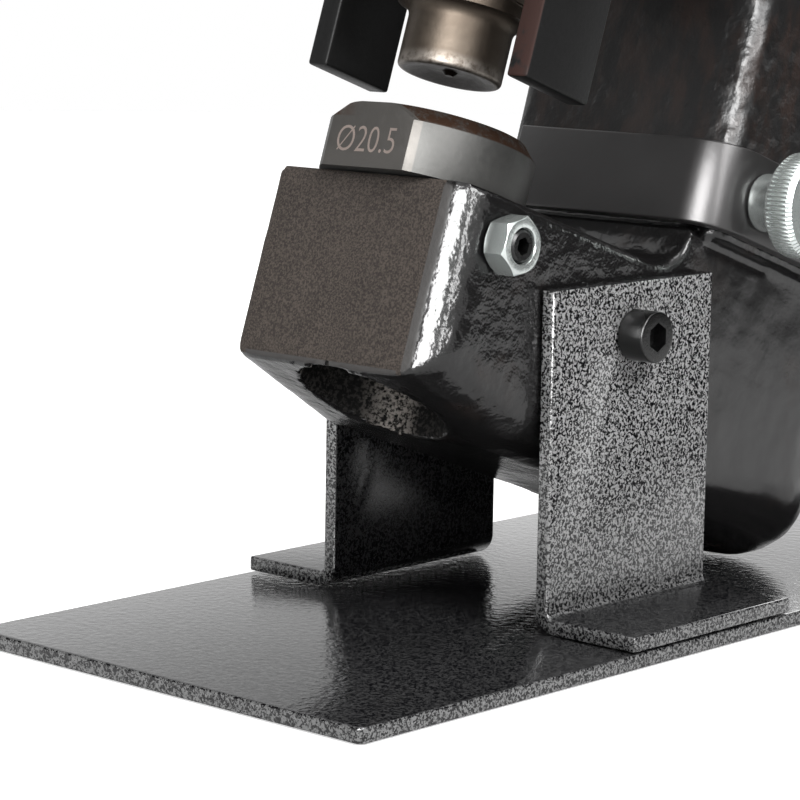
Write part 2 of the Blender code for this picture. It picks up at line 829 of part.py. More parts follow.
def make_stop():
    back = stop_front + stop_leg
    bend = (stop_outer - stop_bend, stop_front + stop_bend)
    outline = arc(bend, stop_bend, -math.pi / 2, 0, 5)
    outline += [(stop_outer, back), (stop_inner, back)]
    outline += arc(bend, stop_bend - stop_thick, 0, -math.pi / 2, 4)
    outline += [(-stop_left, stop_front + stop_thick), (-stop_left, stop_front)]
    stop = finish(prism(outline, stop_bottom, stop_bottom + stop_height), "depth_stop", black_oxide, head)
    bevel = stop.modifiers.new("edges", "BEVEL")
    bevel.width = stop_edge
    bevel.segments = 2
    bevel.limit_method = "ANGLE"
    slot_half = screw_m6["shank"] + stop_play
    height = stop_bottom + thumb_height
    length = stop_travel + stop_play
    slot = arc((thumb_y, height), slot_half, math.pi / 2, 1.5 * math.pi, 8)
    slot += arc((thumb_y + length, height), slot_half, -math.pi / 2, math.pi / 2, 8)
    cutter = prism([(-z, y) for y, z in slot], stop_inner - overrun, stop_outer + overrun)
    return carve(stop, lay(cutter, "X"))


def make_thumbscrew():
    start = stop_outer + gap
    collar, top = thumb_collar, thumb_collar + thumb_head
    shank = screw_m6["shank"]
    tip = -(start - column_half + thumb_engage)
    profile = [(0, tip), (shank - screw_edge, tip), (shank, tip + screw_edge), (shank, 0),
               (thumb_collar_radius - screw_edge, 0), (thumb_collar_radius, screw_edge),
               (thumb_collar_radius, collar)]
    made = turned(profile + [(0, collar)], round_sides)
    place = (start, thumb_y, stop_bottom + thumb_height)
    thumb = finish(lay(made, "X"), "thumbscrew", zinc, head, place)
    knurled = []
    count = 2 * thumb_knurls
    for step in range(count):
        turn = math.tau * step / count
        reach = thumb_head_radius - thumb_knurl_depth * (step % 2)
        knurled.append((reach * math.cos(turn), reach * math.sin(turn)))
    knob = prism(knurled, collar - gap, top)
    rim = thumb_head_radius - thumb_chamfer
    trim = turned([(0, collar - gap), (rim, collar - gap), (thumb_head_radius, collar - gap + thumb_chamfer),
                   (thumb_head_radius, top - thumb_chamfer), (rim, top), (0, top)], 2 * small_sides)
    helper = finish(knob, "helper", zinc, head, place)
    joined(helper, "INTERSECT", [trim])
    made = bmesh.new()
    made.from_mesh(helper.data)
    bpy.data.objects.remove(helper)
    return weld(thumb, lay(made, "X"))


make_stop()
make_thumbscrew()
thumb_hole = lay(cylinder(screw_m6["shank"] + gap, 0, thumb_engage + gap + overrun, small_sides), "X")
shift(thumb_hole, (column_half - thumb_engage - gap, thumb_y, stop_bottom + thumb_height))
carve(bpy.data.objects["c_frame"], thumb_hole)


# Pump block
block_low = barrel_top + gap
flange_top = block_low + flange_thick
block_top = flange_top + block_height
pivot_w = flange_top + pivot_up
link_turn = lever_swing / 2
link_w = pivot_w + link_radius * (1 + math.cos(link_turn)) / 2
link_y = pivot_back - link_radius * math.sin(link_turn)


def make_block():
    spigot = bore_radius - gap
    groove = block_low - (spigot_depth + seal_height) / 2
    wide = barrel_radius
    profile = [(0, block_low - spigot_depth), (spigot, block_low - spigot_depth), (spigot, groove),
               (spigot - seal_depth, groove), (spigot - seal_depth, groove + seal_height),
               (spigot, groove + seal_height), (spigot, block_low), (wide - flange_edge, block_low),
               (wide, block_low + flange_edge), (wide, flange_top - flange_edge),
               (wide - flange_edge, flange_top), (0, flange_top)]
    block = finish(turned(profile, round_sides), "pump_block", block_alloy, head)
    body = rounded_box((-block_half_width, -block_half_depth, flange_top - block_edge),
                       (block_half_width, block_half_depth, block_top), block_edge)
    inner = reservoir_radius - reservoir_wall - gap
    neck = cylinder(inner, block_top - overrun, block_top + reservoir_spigot)
    nipple = cylinder(nipple_radius, block_top, block_top + reservoir_spigot + nipple_height)
    weld(block, body, neck, nipple)
    for side in (-1, 1):
        x0, x1 = side * lug_inner, side * (lug_inner + lug_thick)
        outline = [(block_half_depth - block_edge, pivot_w - lug_radius), (pivot_back, pivot_w - lug_radius)]
        outline += arc((pivot_back, pivot_w), lug_radius, -math.pi / 2, math.pi / 2, 12)[1:]
        outline.append((block_half_depth - block_edge, pivot_w + lug_radius))
        lug = prism([(-z, y) for y, z in outline], min(x0, x1), max(x0, x1))
        weld(block, lay(lug, "X"))
    pin = lay(cylinder(pin_radius + gap, -barrel_radius, barrel_radius, small_sides), "X")
    pump_bore = lay(turned([(0, 0), (plunger_radius + gap, 0),
                            (plunger_radius + gap, block_half_depth - plunger_inner - gland_thread - gland_seal),
                            (gland_thread_radius + gap, block_half_depth - plunger_inner - gland_thread - gland_seal),
                            (gland_thread_radius + gap, barrel_radius), (0, barrel_radius)], small_sides), "Y")
    shift(pump_bore, (0, plunger_inner - gap, link_w))
    carve(block, shift(pin, (0, pivot_back, pivot_w)), pump_bore)
    for side in (-1, 1):
        for way in (-1, 1):
            bolt = cylinder(screw_m6["shank"] + gap, block_low - overrun, flange_top + overrun, small_sides)
            carve(block, shift(bolt, (side * block_screw_x, way * block_screw_y, 0)))
    plug, ball = plug_radius + gap, ball_bore
    base = block_low - spigot_depth
    outlet = turned([(0, base - overrun), (plug, base - overrun), (plug, base + plug_depth + gap),
                     (ball, base + plug_depth + gap), (ball, base + plug_depth + ball_depth),
                     (passage_radius, base + plug_depth + ball_depth + ball), (passage_radius, link_w),
                     (0, link_w)], small_sides)
    crown = block_top + reservoir_spigot + nipple_height
    inlet = turned([(0, link_w), (passage_radius, link_w), (passage_radius, crown - plug_depth - ball_depth - ball),
                    (ball, crown - plug_depth - ball_depth), (ball, crown - plug_depth - gap),
                    (plug, crown - plug_depth - gap), (plug, crown + overrun), (0, crown + overrun)], small_sides)
    carve(block, shift(outlet, (0, valve_setback, 0)), inlet)
    deep = block_half_width - needle_depth - gap
    needle = lay(cylinder(needle_radius + gap, deep, barrel_radius, small_sides), "X")
    shift(needle, (0, -release_forward, flange_top + release_up))
    far = block_half_width - relief_depth - gap
    relief = lay(cylinder(relief_radius + gap, far, barrel_radius, small_sides), "-X")
    shift(relief, (0, -release_forward, flange_top + release_up))
    carve(block, needle, relief)
    ring("cylinder_seal", spigot - seal_depth + gap, bore_radius - gap / 2, groove + gap,
         groove + seal_height - gap, seal_rubber, head)
    return block


def make_valves():
    base = block_low - spigot_depth
    crown = block_top + reservoir_spigot + nipple_height
    for name, low, y in (("outlet_plug", base, valve_setback), ("inlet_plug", crown - plug_depth, 0)):
        made = ring_tool(passage_radius, plug_radius, 0, plug_depth)
        finish(shift(made, (0, y, low)), name, dark_steel, head)
    for name, centre, y in (("outlet_ball", base + plug_depth + gap + ball_radius, valve_setback),
                            ("inlet_ball", crown - plug_depth - gap - ball_radius, 0)):
        profile = [(0, centre - ball_radius)]
        profile += [(x, centre + z) for x, z in arc((0, 0), ball_radius, -math.pi / 2, math.pi / 2, 8)[1:-1]]
        profile.append((0, centre + ball_radius))
        finish(shift(turned(profile, small_sides // 2), (0, y, 0)), name, chrome, head)


def make_release():
    stem = block_half_width + knob_stand
    place = (stem, -release_forward, flange_top + release_up)
    low = -needle_depth - knob_stand
    profile = [(0, low), (needle_radius, low + needle_radius), (needle_radius, overrun), (0, overrun)]
    needle = finish(lay(turned(profile, round_sides), "X"), "release_knob", black_oxide, head, place)
    outline = []
    count = knob_lobes * 6
    for step in range(count):
        turn = math.tau * step / count
        reach = knob_radius - knob_lobe_depth * (1 - math.cos(knob_lobes * turn)) / 2
        outline.append((reach * math.cos(turn), reach * math.sin(turn)))
    return weld(needle, lay(prism(outline, 0, knob_thick), "X"))


def make_relief():
    place = (-block_half_width, -release_forward, flange_top + release_up)
    edge = screw_edge
    profile = [(0, -relief_depth), (relief_radius - edge, -relief_depth), (relief_radius, -relief_depth + edge),
               (relief_radius, -edge), (relief_radius - edge, 0), (0, 0)]
    relief = finish(lay(turned(profile, small_sides), "-X"), "relief_valve_screw", black_oxide, head, place)
    return carve(relief, lay(prism(hexagon(screw_m6["key"]), -screw_m6["key_depth"], overrun), "-X"))


make_block()
make_valves()
make_release()
make_relief()
for index, (side, way) in enumerate(((-1, -1), (1, -1), (-1, 1), (1, 1))):
    place = (side * block_screw_x, way * block_screw_y, flange_top + gap)
    socket_screw("block_bolt_" + str(index + 1), screw_m6, block_screw_length, head, place, "Z")


# Plunger, gland and their pins
def make_plunger():
    place = (0, plunger_inner, link_w)
    length = link_y + plunger_past - plunger_inner
    edge = screw_edge
    profile = [(0, 0), (plunger_radius - edge, 0), (plunger_radius, edge), (plunger_radius, length - edge),
               (plunger_radius - edge, length), (0, length)]
    plunger = finish(lay(turned(profile, small_sides), "Y"), "plunger", chrome, head, place)
    side = link_pin_radius + slot_play
    rise = link_radius * (1 - math.cos(link_turn)) / 2
    low = arc((0, -rise), side, -math.pi, 0, 8)
    high = arc((0, rise), side, 0, math.pi, 8)
    centre = link_y - plunger_inner
    slot = prism([(-z, y + centre) for y, z in low + high], -plunger_radius - overrun, plunger_radius + overrun)
    return carve(plunger, lay(slot, "X"))


def make_gland():
    inner = plunger_radius + gap
    face = block_half_depth
    edge = flange_edge
    start = face - gland_thread
    profile = [(inner, start), (gland_thread_radius, start), (gland_thread_radius, face + gap),
               (gland_radius, face + gap), (gland_radius, face + gland_thick - edge),
               (gland_radius - edge, face + gland_thick), (inner, face + gland_thick)]
    made = lay(turned(profile, small_sides, closed=True), "Y")
    finish(made, "plunger_gland", dark_steel, head, (0, 0, link_w))
    seal = ring_tool(inner - gap / 2, gland_thread_radius, start - gland_seal + gap, start - gap)
    finish(lay(seal, "Y"), "plunger_seal", seal_rubber, head, (0, 0, link_w))


def make_pin(name, radius, half, place, grooves):
    edge = screw_edge
    profile = [(0, -half), (radius - edge, -half), (radius, -half + edge)]
    if grooves:
        low, high = half - pin_overhang + gap, half - pin_overhang + circlip_thick + 3 * gap
        deep = radius - circlip_depth / 2
        profile += [(radius, -high), (deep, -high), (deep, -low), (radius, -low),
                    (radius, low), (deep, low), (deep, high), (radius, high)]
    profile += [(radius, half - edge), (radius - edge, half), (0, half)]
    return finish(lay(turned(profile, round_sides), "X"), name, chrome, head, place)


pivot_place = (0, pivot_back, pivot_w)
pin_half = lug_inner + lug_thick + pin_overhang
make_plunger()
make_gland()
make_pin("lever_pin", pin_radius, pin_half, pivot_place, True)
make_pin("plunger_pin", link_pin_radius, yoke_half - gap, (0, link_y, link_w - link_radius *
         (1 - math.cos(link_turn)) / 2), False)
for name, side in (("circlip_left", "-X"), ("circlip_right", "X")):
    start = lug_inner + lug_thick + 2 * gap
    inner = pin_radius - circlip_depth / 2 + gap / 2
    ring(name, inner, pin_radius + circlip_depth, start, start + circlip_thick, black_oxide, head,
         pivot_place, side, small_sides)


# Lever
def make_yoke():
    half, deep = yoke_half, yoke_depth / 2
    outline = [(deep, 0), (deep, yoke_top - block_edge), (deep - block_edge, yoke_top),
               (block_edge - deep, yoke_top), (-deep, yoke_top - block_edge)]
    outline += arc((0, 0), deep, math.pi, math.tau, 14)[:-1]
    yoke = finish(lay(prism([(-z, y) for y, z in outline], -half, half), "X"), "lever_yoke", dark_steel,
                  head, pivot_place)
    spigot = tube_radius - tube_wall - gap
    weld(yoke, cylinder(spigot, yoke_top - overrun, yoke_top + yoke_spigot, small_sides))
    inner = half - yoke_arm
    window = box((-inner, -yoke_depth, yoke_window_low), (inner, yoke_depth, yoke_window_high))
    pin = lay(cylinder(pin_radius + gap, -barrel_radius, barrel_radius, small_sides), "X")
    link = lay(cylinder(link_pin_radius + gap / 2, -barrel_radius, barrel_radius, small_sides), "X")
    shift(link, (0, -link_radius * math.sin(link_turn), link_radius * math.cos(link_turn)))
    return carve(yoke, window, pin, link)


def make_lever_tube():
    low = yoke_top + gap
    return ring("lever_tube", tube_radius - tube_wall, tube_radius, low, low + tube_length, zinc, head,
                pivot_place, "Z", small_sides)


def make_lever_grip():
    top = yoke_top + gap + tube_length
    low = top - grip_length
    inner, outer = tube_radius + gap, tube_radius + grip_thick
    rings = []
    for index in range(grip_rings):
        start = low + ring_start + index * ring_pitch
        rings += [(outer, start), (outer + ring_rise, start + ring_rise),
                  (outer + ring_rise, start + 4 * ring_rise), (outer, start + 5 * ring_rise)]
    end = top + grip_overhang
    profile = [(inner, low), (outer, low)] + rings + [(outer, end - grip_thick), (outer - grip_thick, end),
                                                     (0, end), (0, top + gap), (inner, top + gap)]
    made = turned_open(profile, small_sides)
    return finish(made, "lever_grip", rubber, head, pivot_place)


def turned_open(profile, sides):
    # A cup's profile: the mouth's two rims are joined, and the points on the axis close the end
    made = turned(profile, sides)
    made.edges.ensure_lookup_table()
    loose = [edge for edge in made.edges if len(edge.link_faces) == 1]
    bmesh.ops.bridge_loops(made, edges=loose)
    return made


make_yoke()
make_lever_tube()
make_lever_grip()


# Fixed handle
def make_reservoir():
    low = block_top + gap
    high = low + reservoir_length
    inner = reservoir_radius - reservoir_wall
    ring("reservoir_tube", inner, reservoir_radius, low, high, zinc, head)
    grip = low + sleeve_up
    outer = reservoir_radius + gap + sleeve_thick
    profile = [(reservoir_radius + gap, grip), (outer - sleeve_thick / 3, grip), (outer, grip + sleeve_thick / 3),
               (outer, grip + sleeve_length - sleeve_thick / 3),
               (outer - sleeve_thick / 3, grip + sleeve_length), (reservoir_radius + gap, grip + sleeve_length)]
    finish(turned(profile, round_sides, closed=True), "handle_grip", rubber, head)
    mouth = nipple_radius + gap
    start = block_top + reservoir_spigot + gap
    neck = start + nipple_height + 2 * gap
    end = start + bladder_length
    wall = bladder_wall
    wide = bladder_radius
    profile = [(mouth, start), (mouth + wall, start), (mouth + wall, neck), (wide, neck + wide - mouth),
               (wide, end - wide / 2), (wide / 2, end), (0, end), (0, end - wall), (wide / 2, end - wall),
               (wide - wall, end - wide / 2 - wall), (wide - wall, neck + wide - mouth), (mouth, neck)]
    finish(turned_open(profile, small_sides), "oil_bladder", seal_rubber, head)
    cap_low = high + gap
    top = cap_low + cap_height
    hole = filler_radius + gap
    edge = cap_edge
    profile = [(hole, cap_low - cap_spigot), (inner - gap, cap_low - cap_spigot), (inner - gap, cap_low),
               (cap_radius - edge, cap_low), (cap_radius, cap_low + edge), (cap_radius, top - 2 * edge),
               (cap_radius - 2 * edge, top), (hole, top)]
    finish(turned(profile, round_sides, closed=True), "reservoir_cap", block_alloy, head)
    seat = top + gap
    profile = [(0, seat - filler_depth), (filler_radius - screw_edge, seat - filler_depth),
               (filler_radius, seat - filler_depth + screw_edge), (filler_radius, seat), (filler_head, seat),
               (filler_head, seat + filler_height - edge), (filler_head - edge, seat + filler_height),
               (0, seat + filler_height)]
    plug = finish(turned(profile, small_sides), "filler_plug", black_oxide, head)
    key = prism(hexagon(screw_m6["key"]), seat + filler_height - screw_m6["key_depth"],
                seat + filler_height + overrun)
    return carve(plug, key)


make_reservoir()
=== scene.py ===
import json
import math

import bmesh
import bpy
from mathutils import Matrix, Vector, noise

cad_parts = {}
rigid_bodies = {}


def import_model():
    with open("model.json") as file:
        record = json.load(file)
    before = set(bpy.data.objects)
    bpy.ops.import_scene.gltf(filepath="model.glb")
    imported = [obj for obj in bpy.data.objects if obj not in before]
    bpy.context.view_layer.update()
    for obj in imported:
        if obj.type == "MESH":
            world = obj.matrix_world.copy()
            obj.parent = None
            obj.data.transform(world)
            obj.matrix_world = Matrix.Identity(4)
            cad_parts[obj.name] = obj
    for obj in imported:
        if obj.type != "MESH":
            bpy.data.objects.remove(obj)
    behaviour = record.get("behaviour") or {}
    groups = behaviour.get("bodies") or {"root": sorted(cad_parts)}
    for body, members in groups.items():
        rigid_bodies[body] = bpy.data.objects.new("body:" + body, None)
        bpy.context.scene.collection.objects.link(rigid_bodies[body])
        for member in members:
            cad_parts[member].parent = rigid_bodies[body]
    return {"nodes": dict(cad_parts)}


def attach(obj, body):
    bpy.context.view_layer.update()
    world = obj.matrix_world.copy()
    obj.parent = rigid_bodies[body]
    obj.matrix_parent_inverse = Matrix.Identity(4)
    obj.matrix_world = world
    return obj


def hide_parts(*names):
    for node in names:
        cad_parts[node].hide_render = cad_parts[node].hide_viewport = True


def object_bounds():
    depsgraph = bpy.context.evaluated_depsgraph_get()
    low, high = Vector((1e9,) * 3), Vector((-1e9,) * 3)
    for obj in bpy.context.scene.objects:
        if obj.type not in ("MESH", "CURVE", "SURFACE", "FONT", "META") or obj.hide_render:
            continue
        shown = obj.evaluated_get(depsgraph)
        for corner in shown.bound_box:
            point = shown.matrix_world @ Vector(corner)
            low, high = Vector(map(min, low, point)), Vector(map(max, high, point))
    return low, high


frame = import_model()
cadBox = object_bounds()
nodes = frame["nodes"]
scene = bpy.context.scene
print("frame loaded")

# Where the leaning head stands: its origin is on the punch axis at the die seat
place = dict(
    lean=math.radians(18.7),
    baseFront=-0.125,
    headSetback=0.0692,
    headHeight=0.0856,
)
headOrigin = Vector((0, place["baseFront"] + place["headSetback"], place["headHeight"]))
headTurn = Matrix.Rotation(-place["lean"], 4, "X")
headMatrix = Matrix.Translation(headOrigin) @ headTurn


# Camera, found by fitting known sizes to the photograph
camera = dict(
    azimuth=42.25,
    elevation=8.92,
    roll=0.9,
    position=(0.3865, -0.3613, 0.1363),
    lens=136.34,
    sensor=36,
    nearest=0.01,
)


def addCamera(own):
    azimuth, elevation, roll = (math.radians(own[key]) for key in ("azimuth", "elevation", "roll"))
    right = Vector((math.cos(azimuth), math.sin(azimuth), 0))
    back = Vector((math.sin(azimuth) * math.cos(elevation), -math.cos(azimuth) * math.cos(elevation),
                   math.sin(elevation)))
    up = back.cross(right)
    turned = Matrix((right * math.cos(roll) + up * math.sin(roll),
                     up * math.cos(roll) - right * math.sin(roll), back)).transposed().to_4x4()
    data = bpy.data.cameras.new("camera")
    data.lens = own["lens"]
    data.sensor_width = own["sensor"]
    data.clip_start = own["nearest"]
    made = bpy.data.objects.new("camera", data)
    spot = Vector(own["position"]) + Vector((0, place["baseFront"], 0))
    made.matrix_world = Matrix.Translation(spot) @ turned
    scene.collection.objects.link(made)
    scene.camera = made


addCamera(camera)


# Shader maths: a socket that can be added, multiplied and so on
class Signal:
    def __init__(self, tree, socket):
        self.tree = tree
        self.socket = socket

    def add(self, kind, output, inputs, **settings):
        # Adds any node, sets or links its inputs, and returns one of its outputs
        made = self.tree.nodes.new(kind)
        for key, value in settings.items():
            setattr(made, key, value)
        for key, value in inputs.items():
            if isinstance(value, Signal):
                self.tree.links.new(value.socket, made.inputs[key])
            else:
                made.inputs[key].default_value = value
        return Signal(self.tree, made.outputs[output])

    def maths(self, operation, *values):
        return self.add("ShaderNodeMath", 0, dict(enumerate(values)), operation=operation)

    def __add__(self, other):
        return self.maths("ADD", self, other)

    def __radd__(self, other):
        return self.maths("ADD", other, self)

    def __sub__(self, other):
        return self.maths("SUBTRACT", self, other)

    def __rsub__(self, other):
        return self.maths("SUBTRACT", other, self)

    def __mul__(self, other):
        return self.maths("MULTIPLY", self, other)

    def __rmul__(self, other):
        return self.maths("MULTIPLY", other, self)

    def __truediv__(self, other):
        return self.maths("DIVIDE", self, other)

    def __pow__(self, other):
        return self.maths("POWER", self, other)

    def smaller(self, other):
        return self.maths("MINIMUM", self, other)

    def larger(self, other):
        return self.maths("MAXIMUM", self, other)

    def fade(self, low, high, start=0.0, end=1.0):
        # Smoothly from start to end while this signal goes from low to high
        inputs = {"Value": self, "From Min": low, "From Max": high, "To Min": start, "To Max": end}
        return self.add("ShaderNodeMapRange", "Result", inputs, interpolation_type="SMOOTHSTEP")

    def near(self, spot, span):
        # Smoothly from 0 to 1 between two distances from a spot
        return self.fade(spot + span[0], spot + span[1])

    def tint(self, low, high):
        # A colour between two others, this signal saying how far
        inputs = {0: self, 6: low if isinstance(low, Signal) else (*low, 1.0),
                  7: high if isinstance(high, Signal) else (*high, 1.0)}
        return self.add("ShaderNodeMix", 2, inputs, data_type="RGBA")

    def noise(self, scale, detail=3.0, rough=0.5, twist=0.0):
        inputs = {"Vector": self, "Scale": scale, "Detail": detail, "Roughness": rough,
                  "Distortion": twist}
        return self.add("ShaderNodeTexNoise", "Fac", inputs)

    def split(self):
        made = self.tree.nodes.new("ShaderNodeSeparateXYZ")
        self.tree.links.new(self.socket, made.inputs[0])
        return [Signal(self.tree, made.outputs[index]) for index in range(3)]

    def stretched(self, x, y, z):
        return self.add("ShaderNodeMapping", 0, {"Vector": self, "Scale": (x, y, z)})

    def bump(self, depth, strength=1.0, after=None):
        inputs = {"Height": self, "Distance": depth, "Strength": strength}
        if after is not None:
            inputs["Normal"] = after
        return self.add("ShaderNodeBump", 0, inputs)


class Finish:
    # One material: its Principled shader, and the coordinates of the object and of the leaning head
    def __init__(self, name, **constants):
        self.material = bpy.data.materials.new(name)
        self.material.use_nodes = True
        tree = self.material.node_tree
        self.shader = tree.nodes["Principled BSDF"]
        for key, value in constants.items():
            self.shader.inputs[key.replace("_", " ")].default_value = value
        self.world = Signal(tree, tree.nodes.new("ShaderNodeTexCoord").outputs["Object"])
        back = headMatrix.inverted()
        self.head = self.world.add("ShaderNodeMapping", 0, {
            "Vector": self.world, "Location": back.to_translation(), "Rotation": back.to_euler()})
        geometry = tree.nodes.new("ShaderNodeNewGeometry")
        self.facing = Signal(tree, geometry.outputs["Normal"])
        self.tree = tree

    def set(self, **signals):
        for key, value in signals.items():
            socket = self.shader.inputs[key.replace("_", " ")]
            if isinstance(value, Signal):
                self.tree.links.new(value.socket, socket)
            elif isinstance(value, tuple):
                socket.default_value = (*value, 1.0)
            else:
                socket.default_value = value
        return self.material


# Stand: black and silver hammertone paint, with painted shade on up-facing tops, on the left bracket's inner
# face and towards the bottom
standPaint = dict(
    black=(0.004, 0.004, 0.005),
    silver=(0.40, 0.40, 0.40),
    # Silver left under painted shade: on up-facing tops, on the left bracket's inner face, and low down
    flatShadedSilver=0.24,
    insideShadedSilver=0.15,
    insideSpan=(0.0, -0.001),
    lowShadedSilver=0.55,
    lowSpan=(0.002, 0.045),
    turnedTo=(0.6, 0.9),
    metallic=0.2,
    speckle=2600,
    speckleShare=0.35,
    veins=1500,
    veinShare=0.65,
    cover=0.505,
    coverSpan=(-0.035, 0.035),
    clouds=60,
    cloudRough=0.10,
    roughness=0.09,
    flatRough=0.035,
    bump=0.00009,
    ripples=620,
    rippleDepth=0.00016,
)


def hammertone(own):
    made = Finish("hammertone")
    warp = made.world.noise(own["veins"], detail=4.0, rough=0.62, twist=0.6)
    fine = made.world.noise(own["speckle"], detail=2.0, rough=0.6)
    mixed = warp * own["veinShare"] + fine * own["speckleShare"]
    silver = mixed.near(own["cover"], own["coverSpan"])
    broad = made.world.noise(own["clouds"], detail=2.0)
    ripple = made.world.noise(own["ripples"], detail=2.0)
    sideways, _, upward = made.facing.split()
    across, _, height = made.world.split()
    flat = upward.fade(*own["turnedTo"])
    inside = sideways.fade(*own["turnedTo"]) * across.fade(*own["insideSpan"])
    # Painted shade: less silver on up-facing tops, on the left bracket's inner face and towards the bottom
    paintedShade = flat.fade(0, 1, 1.0, own["flatShadedSilver"]) * inside.fade(0, 1, 1.0, own["insideShadedSilver"])
    paintedShade = paintedShade * height.fade(*own["lowSpan"], own["lowShadedSilver"], 1.0)
    rough = own["roughness"] + broad * own["cloudRough"]
    waves = (ripple * flat).bump(own["rippleDepth"], strength=0.6)
    return made.set(
        Base_Color=(silver * paintedShade).tint(own["black"], own["silver"]),
        Metallic=silver * own["metallic"],
        Roughness=rough + flat * (own["flatRough"] - rough),
        Normal=mixed.bump(own["bump"], strength=0.45, after=waves))


# Frame: glossy black paint over a rough casting, brownish at the jaw's front and mottled at the back
framePaint = dict(
    black=(0.0080, 0.0077, 0.0078),
    rust=(0.022, 0.011, 0.007),
    rustShare=0.5,
    front=(0.021, 0.0165, 0.0135),
    frontGrain=(0.014, 0.011, 0.010),
    frontGrainShare=0.8,
    frontEdge=-0.0143,
    frontSpan=(0.0002, -0.0002),
    frontTop=(0.004, 0.000),
    frontRough=0.78,
    back=(0.024, 0.014, 0.011),
    backAlong=(0.052, 0.056),
    backUp=(0.012, 0.020),
    backRough=0.15,
    heelAlong=(0.045, 0.060),
    heelUp=(0.012, 0.004),
    heelCalm=0.92,
    armUp=(0.052, 0.062),
    armCalm=0.85,
    cornerAcross=(0.0190, 0.0235),
    cornerAlong=(0.0640, 0.0600),
    cornerLow=(0.010, 0.016),
    cornerHigh=(0.058, 0.050),
    cornerWaves=120,
    cornerDepth=0.0030,
    roughness=0.21,
    stains=38,
    stainLevels=(0.56, 0.74),
    stainRough=0.12,
    mottle=230,
    mottleLevels=(0.42, 0.66),
    mottleStretch=(1, 1, 0.35),
    grain=3200,
    grainDepth=0.00006,
    peel=260,
    peelDepth=0.00055,
    lumps=75,
    lumpDepth=0.0004,
)


def castPaint(own):
    made = Finish("cast_paint")
    across, along, up = made.head.split()
    front = along.near(own["frontEdge"], own["frontSpan"]) * up.fade(*own["frontTop"])
    peel = made.world.noise(own["peel"], rough=0.55)
    lumps = made.world.noise(own["lumps"], detail=4.0, rough=0.6, twist=0.4)
    grain = made.world.noise(own["grain"], detail=2.0, rough=0.7)
    stain = made.world.noise(own["stains"], detail=5.0, rough=0.65).fade(*own["stainLevels"])
    colour = (stain * own["rustShare"]).tint(own["black"], own["rust"])
    bare = (grain * own["frontGrainShare"]).tint(own["front"], own["frontGrain"])
    colour = front.tint(colour, bare)
    back = along.fade(*own["backAlong"]) * up.fade(*own["backUp"])
    mottled = made.head.stretched(*own["mottleStretch"]).noise(own["mottle"], detail=4.0, rough=0.65)
    colour = (back * mottled.fade(*own["mottleLevels"])).tint(colour, own["back"])
    heel = along.fade(*own["heelAlong"]) * up.fade(*own["heelUp"]) * own["heelCalm"]
    calm = 1 - heel.larger(up.fade(*own["armUp"]) * own["armCalm"])
    painted = (peel * calm).bump(own["peelDepth"], strength=0.8)
    painted = lumps.bump(own["lumpDepth"], strength=0.22, after=painted)
    corner = across.fade(*own["cornerAcross"]) * along.fade(*own["cornerAlong"])
    corner = corner * up.fade(*own["cornerLow"]) * up.fade(*own["cornerHigh"])
    waves = made.head.noise(own["cornerWaves"], detail=2.0, rough=0.4) - 0.5
    painted = (waves * corner).bump(own["cornerDepth"], strength=0.8, after=painted)
    rough = front.fade(0, 1, own["roughness"], own["frontRough"])
    return made.set(
        Base_Color=colour,
        Roughness=rough + (stain * own["stainRough"] + back * own["backRough"]),
        Normal=(grain * front).bump(own["grainDepth"], strength=0.5, after=painted))


# The wall of the slug hole: rough and dark, with a lighter patch of painted light across part of it, where
# light falls into the hole
slugWall = dict(
    dark=(0.003, 0.003, 0.003),
    light=(0.030, 0.028, 0.026),
    # The painted light: colour of the lighter patch, and where it lies across the wall
    wearAndPaintedLight=(0.36, 0.33, 0.30),
    paintedLightLeft=-0.0125,
    paintedLightRight=0.0005,
    wornSoft=0.006,
    paintedLightLevels=(0.40, 0.60),
    grain=1100,
    grainLevels=(0.45, 0.62),
    bump=0.00020,
)


def roughWall(own):
    made = Finish("slug_wall", Specular_IOR_Level=0.06, Roughness=0.8)
    grain = made.head.noise(own["grain"], rough=0.7)
    across = made.head.split()[0]
    # Painted light: a lighter patch across part of the wall, where light falls into the hole
    wearAndPaintedLight = across.near(own["paintedLightLeft"], (0, own["wornSoft"]))
    wearAndPaintedLight = wearAndPaintedLight * across.near(own["paintedLightRight"], (0, -own["wornSoft"]))
    wall = grain.fade(*own["grainLevels"]).tint(own["dark"], own["light"])
    return made.set(
        Base_Color=(wearAndPaintedLight * grain.fade(*own["paintedLightLevels"])).tint(wall, own["wearAndPaintedLight"]),
        Normal=grain.bump(own["bump"], strength=0.7))


# The jaw's milled front: bare dark steel with a fine brownish grain
millFace = dict(
    dark=(0.026, 0.022, 0.020),
    light=(0.125, 0.103, 0.088),
    grain=2600,
    grainLevels=(0.35, 0.68),
    grainShare=0.7,
    clouds=90,
    cloudShare=0.3,
    cloudRough=0.1,
    roughness=0.75,
    bump=0.00010,
)


def milledFace(own):
    made = Finish("jaw_front", Specular_IOR_Level=0.08)
    grain = made.head.noise(own["grain"], detail=2.0, rough=0.7)
    broad = made.head.noise(own["clouds"], rough=0.6)
    share = grain.fade(*own["grainLevels"]) * own["grainShare"] + broad * own["cloudShare"]
    return made.set(
        Base_Color=share.tint(own["dark"], own["light"]),
        Roughness=own["roughness"] + broad * own["cloudRough"],
        Normal=grain.bump(own["bump"], strength=0.5))


# Die: dark steel, milled on the flat, with oil and rust at the chamfer
dieSteel = dict(
    steel=(0.046, 0.046, 0.044),
    milled=(0.078, 0.073, 0.067),
    bright=(0.085, 0.083, 0.080),
    brightShare=0.5,
    oil=(0.026, 0.012, 0.006),
    oilRough=0.6,
    roughness=0.44,
    grainRough=0.1,
    top=0.0130,
    chamferDrop=0.0030,
    rimSpan=(-0.0001, 0.0003),
    flat=-0.0171,
    flatSpan=(0.0001, 0.0004),
    milledSpan=(0.0007, 0.0005),
    grain=900,
    rust=420,
    rustLevels=(0.25, 0.55),
    rustRise=3,
    bump=0.00008,
)


